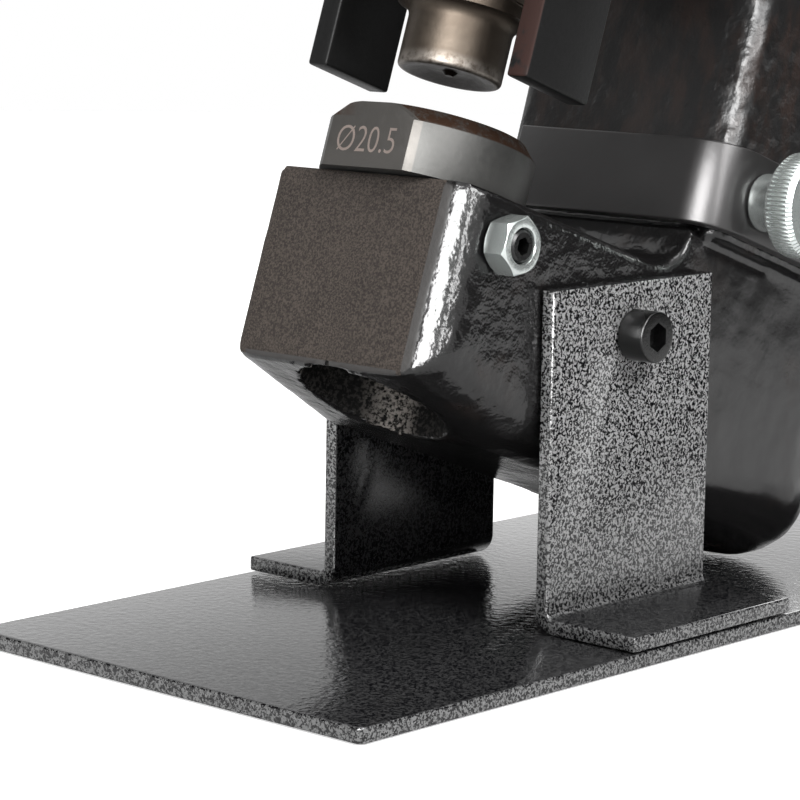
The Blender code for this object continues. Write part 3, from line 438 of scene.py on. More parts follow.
def toolSteel(own):
    made = Finish("die_steel", Metallic=0.85)
    _, along, up = made.head.split()
    grain = made.head.noise(own["grain"], rough=0.6)
    rust = made.head.noise(own["rust"], detail=5.0, rough=0.7)
    rim = up.near(own["top"] - own["chamferDrop"], own["rimSpan"])
    rim = rim * rust.fade(*own["rustLevels"]) * along.near(own["flat"], own["flatSpan"])
    steel = along.near(own["flat"], own["milledSpan"]).tint(own["steel"], own["milled"])
    steel = (grain * own["brightShare"]).tint(steel, own["bright"])
    rough = rim.fade(0, 1, own["roughness"], own["oilRough"])
    return made.set(
        Base_Color=rim.tint(steel, own["oil"]),
        Roughness=rough + grain * own["grainRough"],
        Normal=(grain + rim * rust * own["rustRise"]).bump(own["bump"], strength=0.5))


# Punch: heat-tinted steel, worn bright around its edge and dark underneath
punchSteel = dict(
    steel=(0.068, 0.057, 0.046),
    tint=(0.034, 0.026, 0.020),
    bright=(0.15, 0.135, 0.12),
    under=(0.012, 0.008, 0.006),
    lift=0.0231,
    wearAndPaintedLight=0.0022,
    wornSoft=0.0012,
    wornFull=0.4,
    hole=0.01025,
    rimSpan=(-0.0016, -0.0008),
    underSpan=(0.0030, 0.0020),
    spots=700,
    spotLevels=(0.25, 0.6),
    clouds=120,
    roughness=0.38,
    spotRough=0.20,
    bump=0.00010,
)


def heatedSteel(own):
    made = Finish("punch_steel", Metallic=1.0)
    across, along, up = made.head.split()
    rim = ((across * across + along * along) ** 0.5).near(own["hole"], own["rimSpan"])
    spots = made.head.noise(own["spots"], detail=4.0, rough=0.65)
    clouds = made.head.noise(own["clouds"], rough=0.6, twist=0.3)
    full = own["lift"] + own["wearAndPaintedLight"] * own["wornFull"]
    ring = up.fade(own["lift"] + own["wearAndPaintedLight"] + own["wornSoft"], full) * rim
    under = up.near(own["lift"], own["underSpan"]) * (1 - rim)
    colour = clouds.tint(own["tint"], own["steel"])
    colour = (ring * spots.fade(*own["spotLevels"])).tint(colour, own["bright"])
    return made.set(
        Base_Color=under.tint(colour, own["under"]),
        Roughness=own["roughness"] + spots * own["spotRough"],
        Normal=spots.bump(own["bump"], strength=0.45))


# Stripper: dark steel with rust on the front of its right leg
stripperSteel = dict(
    dark=(0.004, 0.004, 0.004),
    light=(0.010, 0.010, 0.010),
    rust=(0.036, 0.012, 0.008),
    rustRough=0.25,
    front=-0.0101,
    frontSpan=(0.0004, 0.0001),
    rightSpan=(0.0, 0.001),
    patches=240,
    patchLevels=(0.30, 0.50),
    grain=1100,
    grainRough=0.08,
    roughness=0.42,
    bump=0.00008,
)


def strippedSteel(own):
    made = Finish("stripper_steel", Metallic=0.1, Specular_IOR_Level=0.15)
    across, along, _ = made.head.split()
    grain = made.head.noise(own["grain"], rough=0.7)
    patches = made.head.noise(own["patches"], detail=4.0, rough=0.6)
    rust = along.near(own["front"], own["frontSpan"]) * across.fade(*own["rightSpan"])
    rust = rust * patches.fade(*own["patchLevels"])
    rough = own["roughness"] + rust * own["rustRough"]
    return made.set(
        Base_Color=rust.tint(grain.tint(own["dark"], own["light"]), own["rust"]),
        Roughness=rough + grain * own["grainRough"],
        Normal=grain.bump(own["bump"], strength=0.5))


# Plain finishes: base colour, metallic, roughness, grain scale and bump depth
plainFinishes = dict(
    stopSteel=((0.052, 0.050, 0.050), 0.4, 0.32, 500, 0.00005),
    zinc=((0.72, 0.77, 0.75), 0.75, 0.24, 700, 0.00005),
    tube=((0.46, 0.49, 0.51), 1.0, 0.26, 700, 0.00003),
    oxide=((0.003, 0.003, 0.003), 0.1, 0.28, 900, 0.00005),
    darkSteel=((0.050, 0.048, 0.047), 0.9, 0.36, 800, 0.00005),
    chrome=((0.70, 0.70, 0.71), 1.0, 0.12, 300, 0.00001),
    alloy=((0.38, 0.39, 0.40), 1.0, 0.34, 600, 0.00004),
    rubber=((0.016, 0.016, 0.016), 0.0, 0.62, 1500, 0.00008),
    sealRubber=((0.020, 0.016, 0.012), 0.0, 0.50, 900, 0.00004),
    etched=((0.27, 0.21, 0.18), 0.1, 0.60, 1500, 0.00002),
)
plainWear = dict(
    coarser=12,
    darker=0.78,
    roughness=0.12,
)


def plainFinish(name):
    colour, metallic, roughness, scale, depth = plainFinishes[name]
    made = Finish(name, Metallic=metallic)
    grain = made.world.noise(scale, rough=0.6)
    wear = made.world.noise(scale / plainWear["coarser"], rough=0.6)
    darker = tuple(part * plainWear["darker"] for part in colour)
    return made.set(
        Base_Color=wear.tint(darker, colour),
        Roughness=roughness - plainWear["roughness"] / 2 + wear * plainWear["roughness"],
        Normal=grain.bump(depth, strength=0.6))


finishes = {name: plainFinish(name) for name in plainFinishes}
finishes["hammertone"] = hammertone(standPaint)
finishes["castPaint"] = castPaint(framePaint)
finishes["millFace"] = milledFace(millFace)
finishes["slugWall"] = roughWall(slugWall)
finishes["dieSteel"] = toolSteel(dieSteel)
finishes["punchSteel"] = heatedSteel(punchSteel)
finishes["stripperSteel"] = strippedSteel(stripperSteel)

nodeFinishes = dict(
    hammertone=("base_plate", "bracket_left", "bracket_right"),
    castPaint=("c_frame",),
    dieSteel=("die",),
    punchSteel=("punch",),
    stripperSteel=("stripper",),
    stopSteel=("depth_stop",),
    zinc=("die_lock_nut", "thumbscrew"),
    tube=("lever_tube", "reservoir_tube"),
    darkSteel=("punch_nut", "outlet_plug", "inlet_plug", "plunger_gland", "lever_yoke", "return_spring"),
    chrome=("ram", "plunger", "lever_pin", "plunger_pin", "outlet_ball", "inlet_ball"),
    alloy=("pump_block", "reservoir_cap"),
    rubber=("handle_grip", "lever_grip"),
    sealRubber=("piston_seal", "ram_wiper", "cylinder_seal", "plunger_seal", "oil_bladder"),
)
finishOf = {name: finishName for finishName, names in nodeFinishes.items() for name in names}


def dress(mesh, finishName):
    mesh.materials.clear()
    mesh.materials.append(finishes[finishName])


for name, thing in nodes.items():
    dress(thing.data, finishOf.get(name, "oxide"))
print("finishes on")


# Mesh helpers: pieces of the leaning head are built in its own frame and then turned into place
def spun(profile, sides, closed=False, ripple=None):
    # Spins (radius, height) about Z; ripple(turn, radius, height) shortens a knurled part's radius
    made = bmesh.new()
    rings = []
    for radius, height in profile:
        if radius == 0:
            rings.append([made.verts.new((0, 0, height))])
            continue
        ring = []
        for step in range(sides):
            turn = math.tau * step / sides
            reach = radius - (ripple(turn, radius, height) if ripple else 0)
            ring.append(made.verts.new((reach * math.cos(turn), reach * math.sin(turn), height)))
        rings.append(ring)
    pairs = list(zip(rings, rings[1:])) + ([(rings[-1], rings[0])] if closed else [])
    for low, high in pairs:
        for step in range(sides if len(low) + len(high) > 2 else 0):
            after = (step + 1) % sides
            corners = [low[step % len(low)], low[after % len(low)],
                       high[after % len(high)], high[step % len(high)]]
            made.faces.new(list(dict.fromkeys(corners)))
    return made


def rod(radius, length, sides):
    return spun([(0, 0), (radius, 0), (radius, length), (0, length)], sides)


def wave(count, turn):
    # Goes from 0 to 1 and back count times in one turn
    return 0.5 - 0.5 * math.cos(count * turn)


def rimmed(profile, edge, steps=3, closed=False, most=0.45):
    # Rounds every corner of a profile but the two ends of an open one
    points = []
    count = len(profile)
    for index, point in enumerate(profile):
        if not closed and index in (0, count - 1):
            points.append(point)
            continue
        here = Vector(point)
        before, after = Vector(profile[index - 1]), Vector(profile[(index + 1) % count])
        reach = min(edge, (before - here).length * most, (after - here).length * most)
        start = here + (before - here).normalized() * reach
        end = here + (after - here).normalized() * reach
        for step in range(steps + 1):
            share = step / steps
            spot = start * (1 - share) ** 2 + here * 2 * share * (1 - share) + end * share ** 2
            points.append((spot.x, spot.y))
    return points


def pushed(outline, low, high):
    # Extrudes an outline of (x, y) between two heights
    made = bmesh.new()
    bottom = [made.verts.new((x, y, low)) for x, y in outline]
    top = [made.verts.new((x, y, high)) for x, y in outline]
    made.faces.new(bottom)
    made.faces.new(top)
    for index in range(len(outline)):
        after = (index + 1) % len(outline)
        made.faces.new((bottom[index], bottom[after], top[after], top[index]))
    return made


def arc(centre, radius, start, end, steps):
    turns = [start + (end - start) * step / steps for step in range(steps + 1)]
    return [(centre[0] + radius * math.cos(turn), centre[1] + radius * math.sin(turn)) for turn in turns]


def hexagon(flat):
    return arc((0, 0), flat / math.cos(math.pi / 6), 0, math.tau * 5 / 6, 5)


# Turns a piece built along Z to point along another axis
turns = {
    "X": Matrix(((0, 0, 1), (0, 1, 0), (-1, 0, 0))).to_4x4(),
    "-X": Matrix(((0, 0, -1), (0, 1, 0), (1, 0, 0))).to_4x4(),
    "-Y": Matrix(((1, 0, 0), (0, 0, -1), (0, 1, 0))).to_4x4(),
    "-Z": Matrix(((1, 0, 0), (0, -1, 0), (0, 0, -1))).to_4x4(),
    "Z": Matrix.Identity(4),
}


def laid(made, axis, spot=(0, 0, 0)):
    made.transform(Matrix.Translation(spot) @ turns[axis])
    return made


def meshOf(made, name):
    bmesh.ops.recalc_face_normals(made, faces=made.faces)
    mesh = bpy.data.meshes.new(name)
    made.to_mesh(mesh)
    made.free()
    return mesh


def frozen(thing):
    # Takes the finished mesh of an object and removes the object
    bpy.context.view_layer.update()
    made = bpy.data.meshes.new_from_object(thing.evaluated_get(bpy.context.evaluated_depsgraph_get()))
    bpy.data.objects.remove(thing)
    return made


def reworked(mesh, kind, **settings):
    # Runs one modifier over a mesh and returns the new mesh
    thing = bpy.data.objects.new("work", mesh)
    scene.collection.objects.link(thing)
    step = thing.modifiers.new("step", kind)
    for key, value in settings.items():
        setattr(step, key, value)
    return frozen(thing)


def combined(mesh, tool, operation="DIFFERENCE"):
    helper = bpy.data.objects.new("tool", meshOf(tool, "tool"))
    scene.collection.objects.link(helper)
    made = reworked(mesh, "BOOLEAN", operation=operation, solver="EXACT", object=helper)
    bpy.data.objects.remove(helper)
    return made


def softened(mesh, width, segments=2, angle=35):
    return reworked(mesh, "BEVEL", width=width, segments=segments, limit_method="ANGLE",
                    angle_limit=math.radians(angle), harden_normals=False, miter_outer="MITER_ARC")


def pick(own, keys):
    # Several values by their names
    return [own[key] for key in keys.split()]


def bodyOf(name):
    return nodes[name].parent.name.split(":")[1]


def addPiece(name, mesh, finishName, node, smooth=30, leaning=True):
    if leaning:
        mesh.transform(headMatrix)
    mesh.shade_smooth()
    mesh.set_sharp_from_angle(angle=math.radians(smooth))
    dress(mesh, finishName)
    piece = bpy.data.objects.new(name, mesh)
    scene.collection.objects.link(piece)
    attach(piece, bodyOf(node))
    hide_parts(node)


cleaning = dict(
    merge=0.000002,
    flatWithin=math.radians(0.5),
)


def cleanCopy(name):
    # A node's own mesh without doubled points and needless edges
    made = bmesh.new()
    made.from_mesh(nodes[name].data)
    bmesh.ops.remove_doubles(made, verts=made.verts, dist=cleaning["merge"])
    bmesh.ops.dissolve_limit(made, angle_limit=cleaning["flatWithin"], verts=made.verts, edges=made.edges)
    return meshOf(made, name)


# Frame: the solid's own shape as a casting with rounded edges and a lumpy skin
casting = dict(
    voxel=0.0010,
    smoothing=0.5,
    smoothings=2,
    lump=0.00012,
    lumpBias=0.6,
    lumpScale=95,
    lumpFractal=(0.8, 2.2, 4),
    nose=-0.0144,
    seat=-0.0003,
    seatBack=0.0400,
    machined=0.0500,
    bareDeep=-0.0110,
    bareTurn=-0.35,
    bareRight=0.0182,
    bareLow=-0.0369,
    bareHigh=0.0005,
    slugSmooth=0.0155,
    slugSetback=0.0008,
    slugReach=0.0152,
    wallTop=-0.0110,
    wallTurn=0.5,
)


def makeCasting(own):
    mesh = cleanCopy("c_frame")
    mesh.transform(headMatrix.inverted())
    mesh = reworked(mesh, "REMESH", mode="VOXEL", voxel_size=own["voxel"], use_smooth_shade=True)
    mesh = reworked(mesh, "SMOOTH", factor=own["smoothing"], iterations=own["smoothings"])
    normals = [corner.vector.copy() for corner in mesh.vertex_normals]
    for vertex, normal in zip(mesh.vertices, normals):
        spot = vertex.co
        milled = spot.y < own["nose"] or (spot.z > own["seat"] and spot.y < own["seatBack"])
        inside = spot.x ** 2 + spot.y ** 2 < own["slugSmooth"] ** 2 or spot.z > own["machined"]
        if milled or inside:
            continue
        height = noise.fractal(spot * own["lumpScale"], *own["lumpFractal"])
        vertex.co = spot - normal * own["lump"] * (own["lumpBias"] + height)
    bare = [face.index for face in mesh.polygons
            if face.center.y < own["bareDeep"] and face.normal.y < own["bareTurn"]
            and face.center.x < own["bareRight"]
            and own["bareLow"] < face.center.z < own["bareHigh"]]
    wall = [face.index for face in mesh.polygons
            if face.center.z < own["wallTop"] and abs(face.normal.z) < own["wallTurn"]
            and math.hypot(face.center.x, face.center.y - own["slugSetback"]) < own["slugReach"]]
    addPiece("casting", mesh, "castPaint", "c_frame", smooth=60)
    for slot, (finishName, faces) in enumerate((("millFace", bare), ("slugWall", wall)), 1):
        mesh.materials.append(finishes[finishName])
        for index in faces:
            mesh.polygons[index].material_index = slot


# Die with its milled flat and the size marked on it
dieShape = dict(
    radius=0.0201,
    height=0.0130,
    flat=0.0171,
    turn=math.radians(-2.1),
    chamfer=0.0026,
    drop=0.0030,
    shank=0.0128,
    shankLength=0.0120,
    hole=0.0106,
    lift=0.0003,
    edge=0.00022,
    sides=144,
    cutWithin=0.000001,
    mark="Ø20.5",
    markSize=(0.0152, 0.0050),
    markPlace=(-0.0005, 0.0057),
    markThin=-0.010,
    markDeep=0.001,
    markSteps=6,
    markProud=0.00002,
    markSunk=-0.0001,
)


def makeDie(own):
    radius, top, hole, shank, lift = pick(own, "radius height hole shank lift")
    under = -own["shankLength"]
    profile = [(hole, under), (shank, under), (shank, lift), (radius, lift), (radius, top - own["drop"]),
               (radius - own["chamfer"], top), (hole, top)]
    made = spun(profile, own["sides"], closed=True)
    turn = Matrix.Rotation(own["turn"], 4, "Z")
    normal = turn @ Vector((0, -1, 0))
    cut = bmesh.ops.bisect_plane(made, geom=made.verts[:] + made.edges[:] + made.faces[:],
                                 dist=own["cutWithin"], plane_co=normal * own["flat"],
                                 plane_no=normal, clear_outer=True)
    edges = [part for part in cut["geom_cut"] if isinstance(part, bmesh.types.BMEdge)]
    bmesh.ops.contextual_create(made, geom=edges)
    mesh = softened(meshOf(made, "die"), own["edge"], angle=28)
    addPiece("die_body", mesh, "dieSteel", "die", smooth=24)
    makeMark(own, turn)


def makeMark(own, turn):
    words = bpy.data.curves.new("mark", "FONT")
    words.body = own["mark"]
    words.extrude = own["markDeep"]
    words.offset = own["markThin"]
    words.resolution_u = own["markSteps"]
    holder = bpy.data.objects.new("mark", words)
    scene.collection.objects.link(holder)
    mark = frozen(holder)
    reach = []
    for axis in (0, 1):
        along = [vertex.co[axis] for vertex in mark.vertices]
        reach.append(((min(along) + max(along)) / 2, max(along) - min(along)))
    for vertex in mark.vertices:
        across, rise = ((vertex.co[axis] - reach[axis][0]) / reach[axis][1] * own["markSize"][axis]
                        + own["markPlace"][axis] for axis in (0, 1))
        proud = own["markProud"] if vertex.co.z > 0 else own["markSunk"]
        vertex.co = turn @ Vector((across, -own["flat"] - proud, rise))
    addPiece("die_mark", mark, "etched", "die")


# Punch, its nut, and the screws and nuts at the jaw
punchShape = dict(
    lift=0.0231,
    nose=0.0125,
    step=0.0022,
    body=0.0130,
    bodyLong=0.0150,
    hole=0.01025,
    groove=0.0007,
    grooveEdge=0.0002,
    headRadius=0.0150,
    head=0.0050,
    hollow=0.0010,
    pip=0.0008,
    tip=0.0009,
    nutRadius=0.0195,
    nutLip=0.0040,
    nutHeight=0.0200,
    nutEdge=0.0012,
    pinRadius=0.0025,
    pinDeep=0.0025,
    pinLong=0.01,
    gap=0.0003,
    sides=128,
)


def makePunch(own):
    low, hole, body, pip, tip, line, head = pick(own, "lift hole body pip tip groove headRadius")
    flare = body - hole
    shoulder = low + own["nose"]
    groove = shoulder + own["step"]
    top = groove + own["bodyLong"]
    under = top - own["head"]
    deep = low + own["hollow"]
    profile = [(0, deep - pip), (pip, deep - pip), (2 * pip, deep), (hole / 2, deep), (hole - 2 * tip, low)]
    profile += arc((hole - tip, low + tip), tip, -math.pi / 2, 0, 6)
    profile += arc((body, shoulder - flare), flare, math.pi, math.pi / 2, 10)
    profile += rimmed([(body, shoulder), (body, groove), (body - line, groove), (body - line, groove + line),
                       (body, groove + line), (body, under)], own["grooveEdge"], 2)[1:]
    profile += [(head, under), (head, top), (0, top)]
    mesh = meshOf(spun(profile, own["sides"]), "punch")
    addPiece("punch_body", mesh, "punchSteel", "punch", smooth=32)


def makePunchNut(own):
    gap, outer = pick(own, "gap nutRadius")
    top = own["lift"] + own["nose"] + own["step"] + own["bodyLong"]
    low = top - own["head"] - own["nutLip"] - gap
    high = low + own["nutHeight"]
    lip = low + own["nutLip"]
    inner, wide = own["body"] + gap, own["headRadius"] + gap
    profile = rimmed([(inner, low), (outer, low), (outer, high), (wide, high), (wide, lip), (inner, lip)],
                     own["nutEdge"], 4, closed=True)
    mesh = meshOf(spun(profile, own["sides"], closed=True), "punch_nut")
    for turn in range(4):
        hole = laid(rod(own["pinRadius"], own["pinLong"], 32), "X", (outer - own["pinDeep"], 0, 0))
        lifted = Matrix.Translation((0, 0, (low + high) / 2))
        hole.transform(lifted @ Matrix.Rotation(turn * math.pi / 2, 4, "Z"))
        mesh = combined(mesh, hole)
    addPiece("punch_nut_body", mesh, "darkSteel", "punch_nut", smooth=32)


screwShape = dict(
    m6=dict(shank=0.0030, head=0.0050, height=0.0060, key=0.0025, keyDepth=0.0030),
    m5=dict(shank=0.0025, head=0.00425, height=0.0050, key=0.0020, keyDepth=0.0025),
    edge=0.0005,
    keyPast=0.002,
)


def makeSocketScrew(name, size, length, spot, axis, leaning=True):
    sizes = screwShape[size]
    head, shank, height = pick(sizes, "head shank height")
    edge = screwShape["edge"]
    profile = [(0, -length), (shank - edge, -length), (shank, edge - length), (shank, 0)]
    profile += rimmed([(shank, 0), (head, 0), (head, height), (0, height)], edge, 4)[1:]
    mesh = meshOf(laid(spun(profile, 64), axis, spot), name)
    key = pushed(hexagon(sizes["key"]), height - sizes["keyDepth"], height + screwShape["keyPast"])
    mesh = combined(mesh, laid(key, axis, spot))
    addPiece(name + "_body", mesh, "oxide", name, smooth=32, leaning=leaning)


jawScrew = dict(
    start=0.0131,
    face=0.0264,
    forward=-0.0042,
    depth=-0.0090,
    shank=0.0030,
    edge=0.0004,
    flat=0.0050,
    height=0.0052,
    key=0.0015,
    keyDepth=0.0035,
    keyPast=0.002,
    crownShare=0.75,
    crownInset=0.0001,
    boreGap=0.0003,
    boreFlare=(0.0007, 0.0009),
    boreDeep=0.0006,
    borePast=0.001,
    nutEdge=0.00012,
)


def makeJawScrew(own):
    shank, edge, flat, height = pick(own, "shank edge flat height")
    end = own["face"] + height - own["start"]
    profile = [(0, 0), (shank / 2, 0), (shank, shank / 2), (shank, end - edge), (shank - edge, end), (0, end)]
    spot = (own["start"], own["forward"], own["depth"])
    mesh = meshOf(laid(spun(profile, 48), "X", spot), "set_screw")
    key = pushed(hexagon(own["key"]), end - own["keyDepth"], end + own["keyPast"])
    addPiece("set_screw_body", combined(mesh, laid(key, "X", spot)), "oxide", "die_set_screw", smooth=32)
    spot = (own["face"], own["forward"], own["depth"])
    mesh = meshOf(laid(pushed(hexagon(flat), 0, height), "X", spot), "lock_nut")
    reach = flat / math.cos(math.pi / 6)
    rise = (reach - flat) * own["crownShare"]
    inset = flat - own["crownInset"]
    crown = [(0, 0), (inset, 0), (reach, rise), (reach, height - rise), (inset, height), (0, height)]
    mesh = combined(mesh, laid(spun(crown, 128), "X", spot), "INTERSECT")
    wall = shank + own["boreGap"]
    deep, past = pick(own, "boreDeep borePast")
    low, high = (shank + flare for flare in own["boreFlare"])
    bore = [(0, -past), (low, -past), (wall, deep), (wall, height - deep), (high, height + past),
            (0, height + past)]
    mesh = combined(mesh, laid(spun(bore, 48), "X", spot))
    addPiece("lock_nut_body", softened(mesh, own["nutEdge"], angle=22), "zinc", "die_lock_nut", smooth=24)


# Depth stop and its knurled thumbscrew
stopShape = dict(
    left=0.0225,
    inner=0.0288,
    thick=0.0032,
    front=0.0502,
    long=0.0470,
    bend=0.0100,
    bottom=0.0102,
    tall=0.0171,
    edge=0.00045,
    thumbBehind=0.0143,
    thumbRise=0.0082,
    slotHalf=0.0034,
    travel=0.0254,
    slotPast=0.003,
)


def makeStop(own):
    inner, front, thick = pick(own, "inner front thick")
    outer = inner + thick
    centre = (outer - own["bend"], front + own["bend"])
    outline = arc(centre, own["bend"], -math.pi / 2, 0, 14)
    outline += [(outer, front + own["long"]), (inner, front + own["long"])]
    outline += arc(centre, own["bend"] - thick, 0, -math.pi / 2, 10)
    outline += [(-own["left"], front + thick), (-own["left"], front)]
    mesh = meshOf(pushed(outline, own["bottom"], own["bottom"] + own["tall"]), "stop")
    behind, rise, half = front + own["thumbBehind"], own["bottom"] + own["thumbRise"], own["slotHalf"]
    slot = arc((behind, rise), half, math.pi / 2, 1.5 * math.pi, 16)
    slot += arc((behind + own["travel"], rise), half, -math.pi / 2, math.pi / 2, 16)
    cutter = pushed([(-z, y) for y, z in slot], inner - own["slotPast"], outer + own["slotPast"])
    mesh = softened(combined(mesh, laid(cutter, "X")), own["edge"], segments=3, angle=40)
    addPiece("stop_plate", mesh, "stopSteel", "depth_stop")


thumbShape = dict(
    start=0.0323,
    tip=-0.0118,
    shank=0.0030,
    edge=0.0006,
    collarRadius=0.0058,
    collar=0.0073,
    radius=0.0105,
    head=0.0062,
    sunk=0.0003,
    chamfer=0.0009,
    faceRing=(0.0012, 0.0016),
    faceDeep=0.0004,
    ridges=72,
    ridgeDepth=0.00038,
    ridgeSharp=1.5,
    slack=0.00001,
)


def makeThumb(own):
    stop = stopShape
    spot = (own["start"], stop["front"] + stop["thumbBehind"], stop["bottom"] + stop["thumbRise"])
    shank, tip, edge, chamfer = pick(own, "shank tip edge chamfer")
    collar, ring, wide, sunk = pick(own, "collar collarRadius radius sunk")
    profile = [(0, tip), (shank - edge, tip), (shank, tip + edge), (shank, 0)]
    profile += rimmed([(shank, 0), (ring, 0), (ring, collar)], edge, 4)[1:]
    profile += [(0, collar)]
    made = laid(spun(profile, 64), "X", spot)

    def ridged(turn, radius, height):
        if radius < wide - own["slack"]:
            return 0
        return own["ridgeDepth"] * wave(own["ridges"], turn) ** own["ridgeSharp"]

    rim = wide - chamfer
    top = collar + own["head"]
    outer, inner = (rim - step for step in own["faceRing"])
    face = top - own["faceDeep"]
    head = [(0, collar - sunk), (rim, collar - sunk), (wide, collar + chamfer - sunk), (wide, top - chamfer),
            (rim, top), (outer, top), (inner, face), (0, face)]
    part = laid(spun(head, own["ridges"] * 8, ripple=ridged), "X", spot)
    made.from_mesh(meshOf(part, "thumb_head"))
    addPiece("thumbscrew_body", meshOf(made, "thumbscrew"), "zinc", "thumbscrew", smooth=36)


# Bent sheet of the stand
sheetShape = dict(
    sheet=0.0030,
    width=0.1013,
    inner=0.0264,
    foot=0.0033,
    bend=0.0015,
    height=0.0690,
    long=0.0495,
    setback=0.0743,
    holeBack=0.0239,
    holeHeight=0.0588,
    hole=0.0033,
    edge=0.00045,
    corner=0.0015,
)


def makeBracket(name, side, own):
    inner, bend, sheet, foot, height = pick(own, "inner bend sheet foot height")
    half = own["width"] / 2
    outer = inner + sheet
    rise = foot + sheet
    centre = (outer + bend, rise + bend)
    outline = [(inner, height), (outer, height)]
    outline += arc(centre, bend, math.pi, 1.5 * math.pi, 8)
    outline += [(half, rise), (half, foot)]
    outline += arc(centre, bend + sheet, 1.5 * math.pi, math.pi, 12)
    front = place["baseFront"] + own["setback"]
    made = laid(pushed([(side * x, z) for x, z in outline], -front - own["long"], -front), "-Y")
    spot = (-half, front + own["holeBack"], own["holeHeight"])
    mesh = combined(meshOf(made, name), laid(rod(own["hole"], own["width"], 48), "X", spot))
    mesh = softened(mesh, own["edge"], segments=3, angle=40)
    addPiece(name + "_sheet", mesh, "hammertone", name, leaning=False)


def makeBase(own):
    half, back, corner = own["width"] / 2, -place["baseFront"], own["corner"]
    outline = []
    for quarter, (side, way) in enumerate(((1, 1), (-1, 1), (-1, -1), (1, -1))):
        centre = (side * (half - corner), way * (back - corner))
        outline += arc(centre, corner, quarter * math.pi / 2, (quarter + 1) * math.pi / 2, 6)
    mesh = meshOf(pushed(outline, 0, own["sheet"]), "base")
    mesh = softened(mesh, own["edge"], segments=3, angle=40)
    addPiece("base_sheet", mesh, "hammertone", "base_plate", leaning=False)


# Round parts above the throat
upper = dict(
    blockTop=0.2203,
    reservoirRadius=0.0210,
    reservoirWall=0.0022,
    reservoirLong=0.1750,
    sleeveUp=0.0450,
    sleeveLong=0.1050,
    sleeveThick=0.0030,
    sleeveEdge=0.0012,
    ribs=30,
    ribDepth=0.0005,
    ribInset=0.008,
    ribFade=(0.0075, 0.0085),
    capHigh=0.0200,
    capRadius=0.0250,
    capBore=0.0083,
    capSunk=0.0120,
    capEdges=(0.0016, 0.0038),
    capRidges=36,
    capRidgeDepth=0.0004,
    capRidgeInset=(0.003, 0.005),
    capLowFade=(0.0026, 0.0034),
    capHighFade=(0.0064, 0.0046),
    pivotBack=0.0560,
    pivotUp=0.1803,
    tubeStart=0.0443,
    tubeLong=0.1950,
    tubeRadius=0.0125,
    tubeWall=0.0025,
    tubeEdge=0.0004,
    gripLong=0.1100,
    gripThick=0.0038,
    gripOver=0.0050,
    gripEdge=0.0016,
    ringRise=0.0012,
    ringPitch=0.0130,
    ringStart=0.0150,
    rings=6,
    gap=0.0003,
    slack=0.0001,
    sides=96,
)


def makeTube(name, node, inner, outer, low, high, spot=(0, 0, 0)):
    profile = rimmed([(inner, low), (outer, low), (outer, high), (inner, high)], upper["tubeEdge"], 2, True)
    mesh = meshOf(laid(spun(profile, upper["sides"], closed=True), "Z", spot), name)
    addPiece(name, mesh, "tube", node, smooth=32)


def makeReservoir(own):
    gap, slack, edge, radius, inset = pick(own, "gap slack sleeveEdge reservoirRadius ribInset")
    low = own["blockTop"] + gap
    high = low + own["reservoirLong"]
    makeTube("reservoir_shell", "reservoir_tube", radius - own["reservoirWall"], radius, low, high)
    start = low + own["sleeveUp"]
    end = start + own["sleeveLong"]
    inner = radius + gap
    outer = inner + own["sleeveThick"]

    def fluted(turn, reach, height):
        ribbed = reach > outer - slack and start + inset < height < end - inset
        return own["ribDepth"] * wave(own["ribs"], turn) if ribbed else 0

    near, far = own["ribFade"]
    wall = [(outer, start + near), (outer, start + far), (outer, end - far), (outer, end - near)]
    sleeve = [(inner, start)] + rimmed([(inner, start), (outer, start), wall[0]], edge, 4)[1:-1]
    sleeve += wall + rimmed([wall[-1], (outer, end), (inner, end)], edge, 4)[1:]
    mesh = meshOf(spun(sleeve, own["ribs"] * 8, True, fluted), "sleeve")
    addPiece("handle_sleeve", mesh, "rubber", "handle_grip", smooth=40)
    makeCap(own, high + gap)


def makeCap(own, low):
    inner = own["reservoirRadius"] - own["reservoirWall"] - own["gap"]
    top, sunk = low + own["capHigh"], low - own["capSunk"]
    cap, bore = pick(own, "capRadius capBore")
    lowInset, highInset = own["capRidgeInset"]
    lowEdge, highEdge = own["capEdges"]

    def milled(turn, reach, height):
        ridged = reach > cap - own["slack"] and low + lowInset < height < top - highInset
        return own["capRidgeDepth"] * wave(own["capRidges"], turn) if ridged else 0

    side = [(cap, low + rise) for rise in own["capLowFade"]]
    side += [(cap, top - drop) for drop in own["capHighFade"]]
    body = [(bore, sunk), (inner, sunk), (inner, low)]
    body += rimmed([(inner, low), (cap, low), side[0]], lowEdge, 4)[1:-1] + side
    body += rimmed([side[-1], (cap, top), (bore, top)], highEdge, 6)[1:]
    mesh = meshOf(spun(body, own["capRidges"] * 8, True, milled), "cap")
    addPiece("cap_body", mesh, "alloy", "reservoir_cap", smooth=40)


def makeLever(own):
    gap, radius, rise, start = pick(own, "gap tubeRadius ringRise tubeStart")
    pivot = (0, own["pivotBack"], own["pivotUp"])
    top = start + own["tubeLong"]
    makeTube("lever_tube_shell", "lever_tube", radius - own["tubeWall"], radius, start, top, pivot)
    low = top - own["gripLong"]
    inner, outer = radius + gap, radius + own["gripThick"]
    grip = [(inner, low), (outer, low)]
    for index in range(own["rings"]):
        start = low + own["ringStart"] + index * own["ringPitch"]
        grip += [(outer, start), (outer + rise, start + rise), (outer + rise, start + 4 * rise),
                 (outer, start + 5 * rise)]
    end = top + own["gripOver"]
    grip += [(outer, end), (0, end)]
    shell = [(0, top + gap), (inner, top + gap), (inner, low)] + rimmed(grip, own["gripEdge"], 4)[1:]
    mesh = meshOf(laid(spun(shell, own["sides"]), "Z", pivot), "grip")
    addPiece("lever_grip_body", mesh, "rubber", "lever_grip", smooth=40)


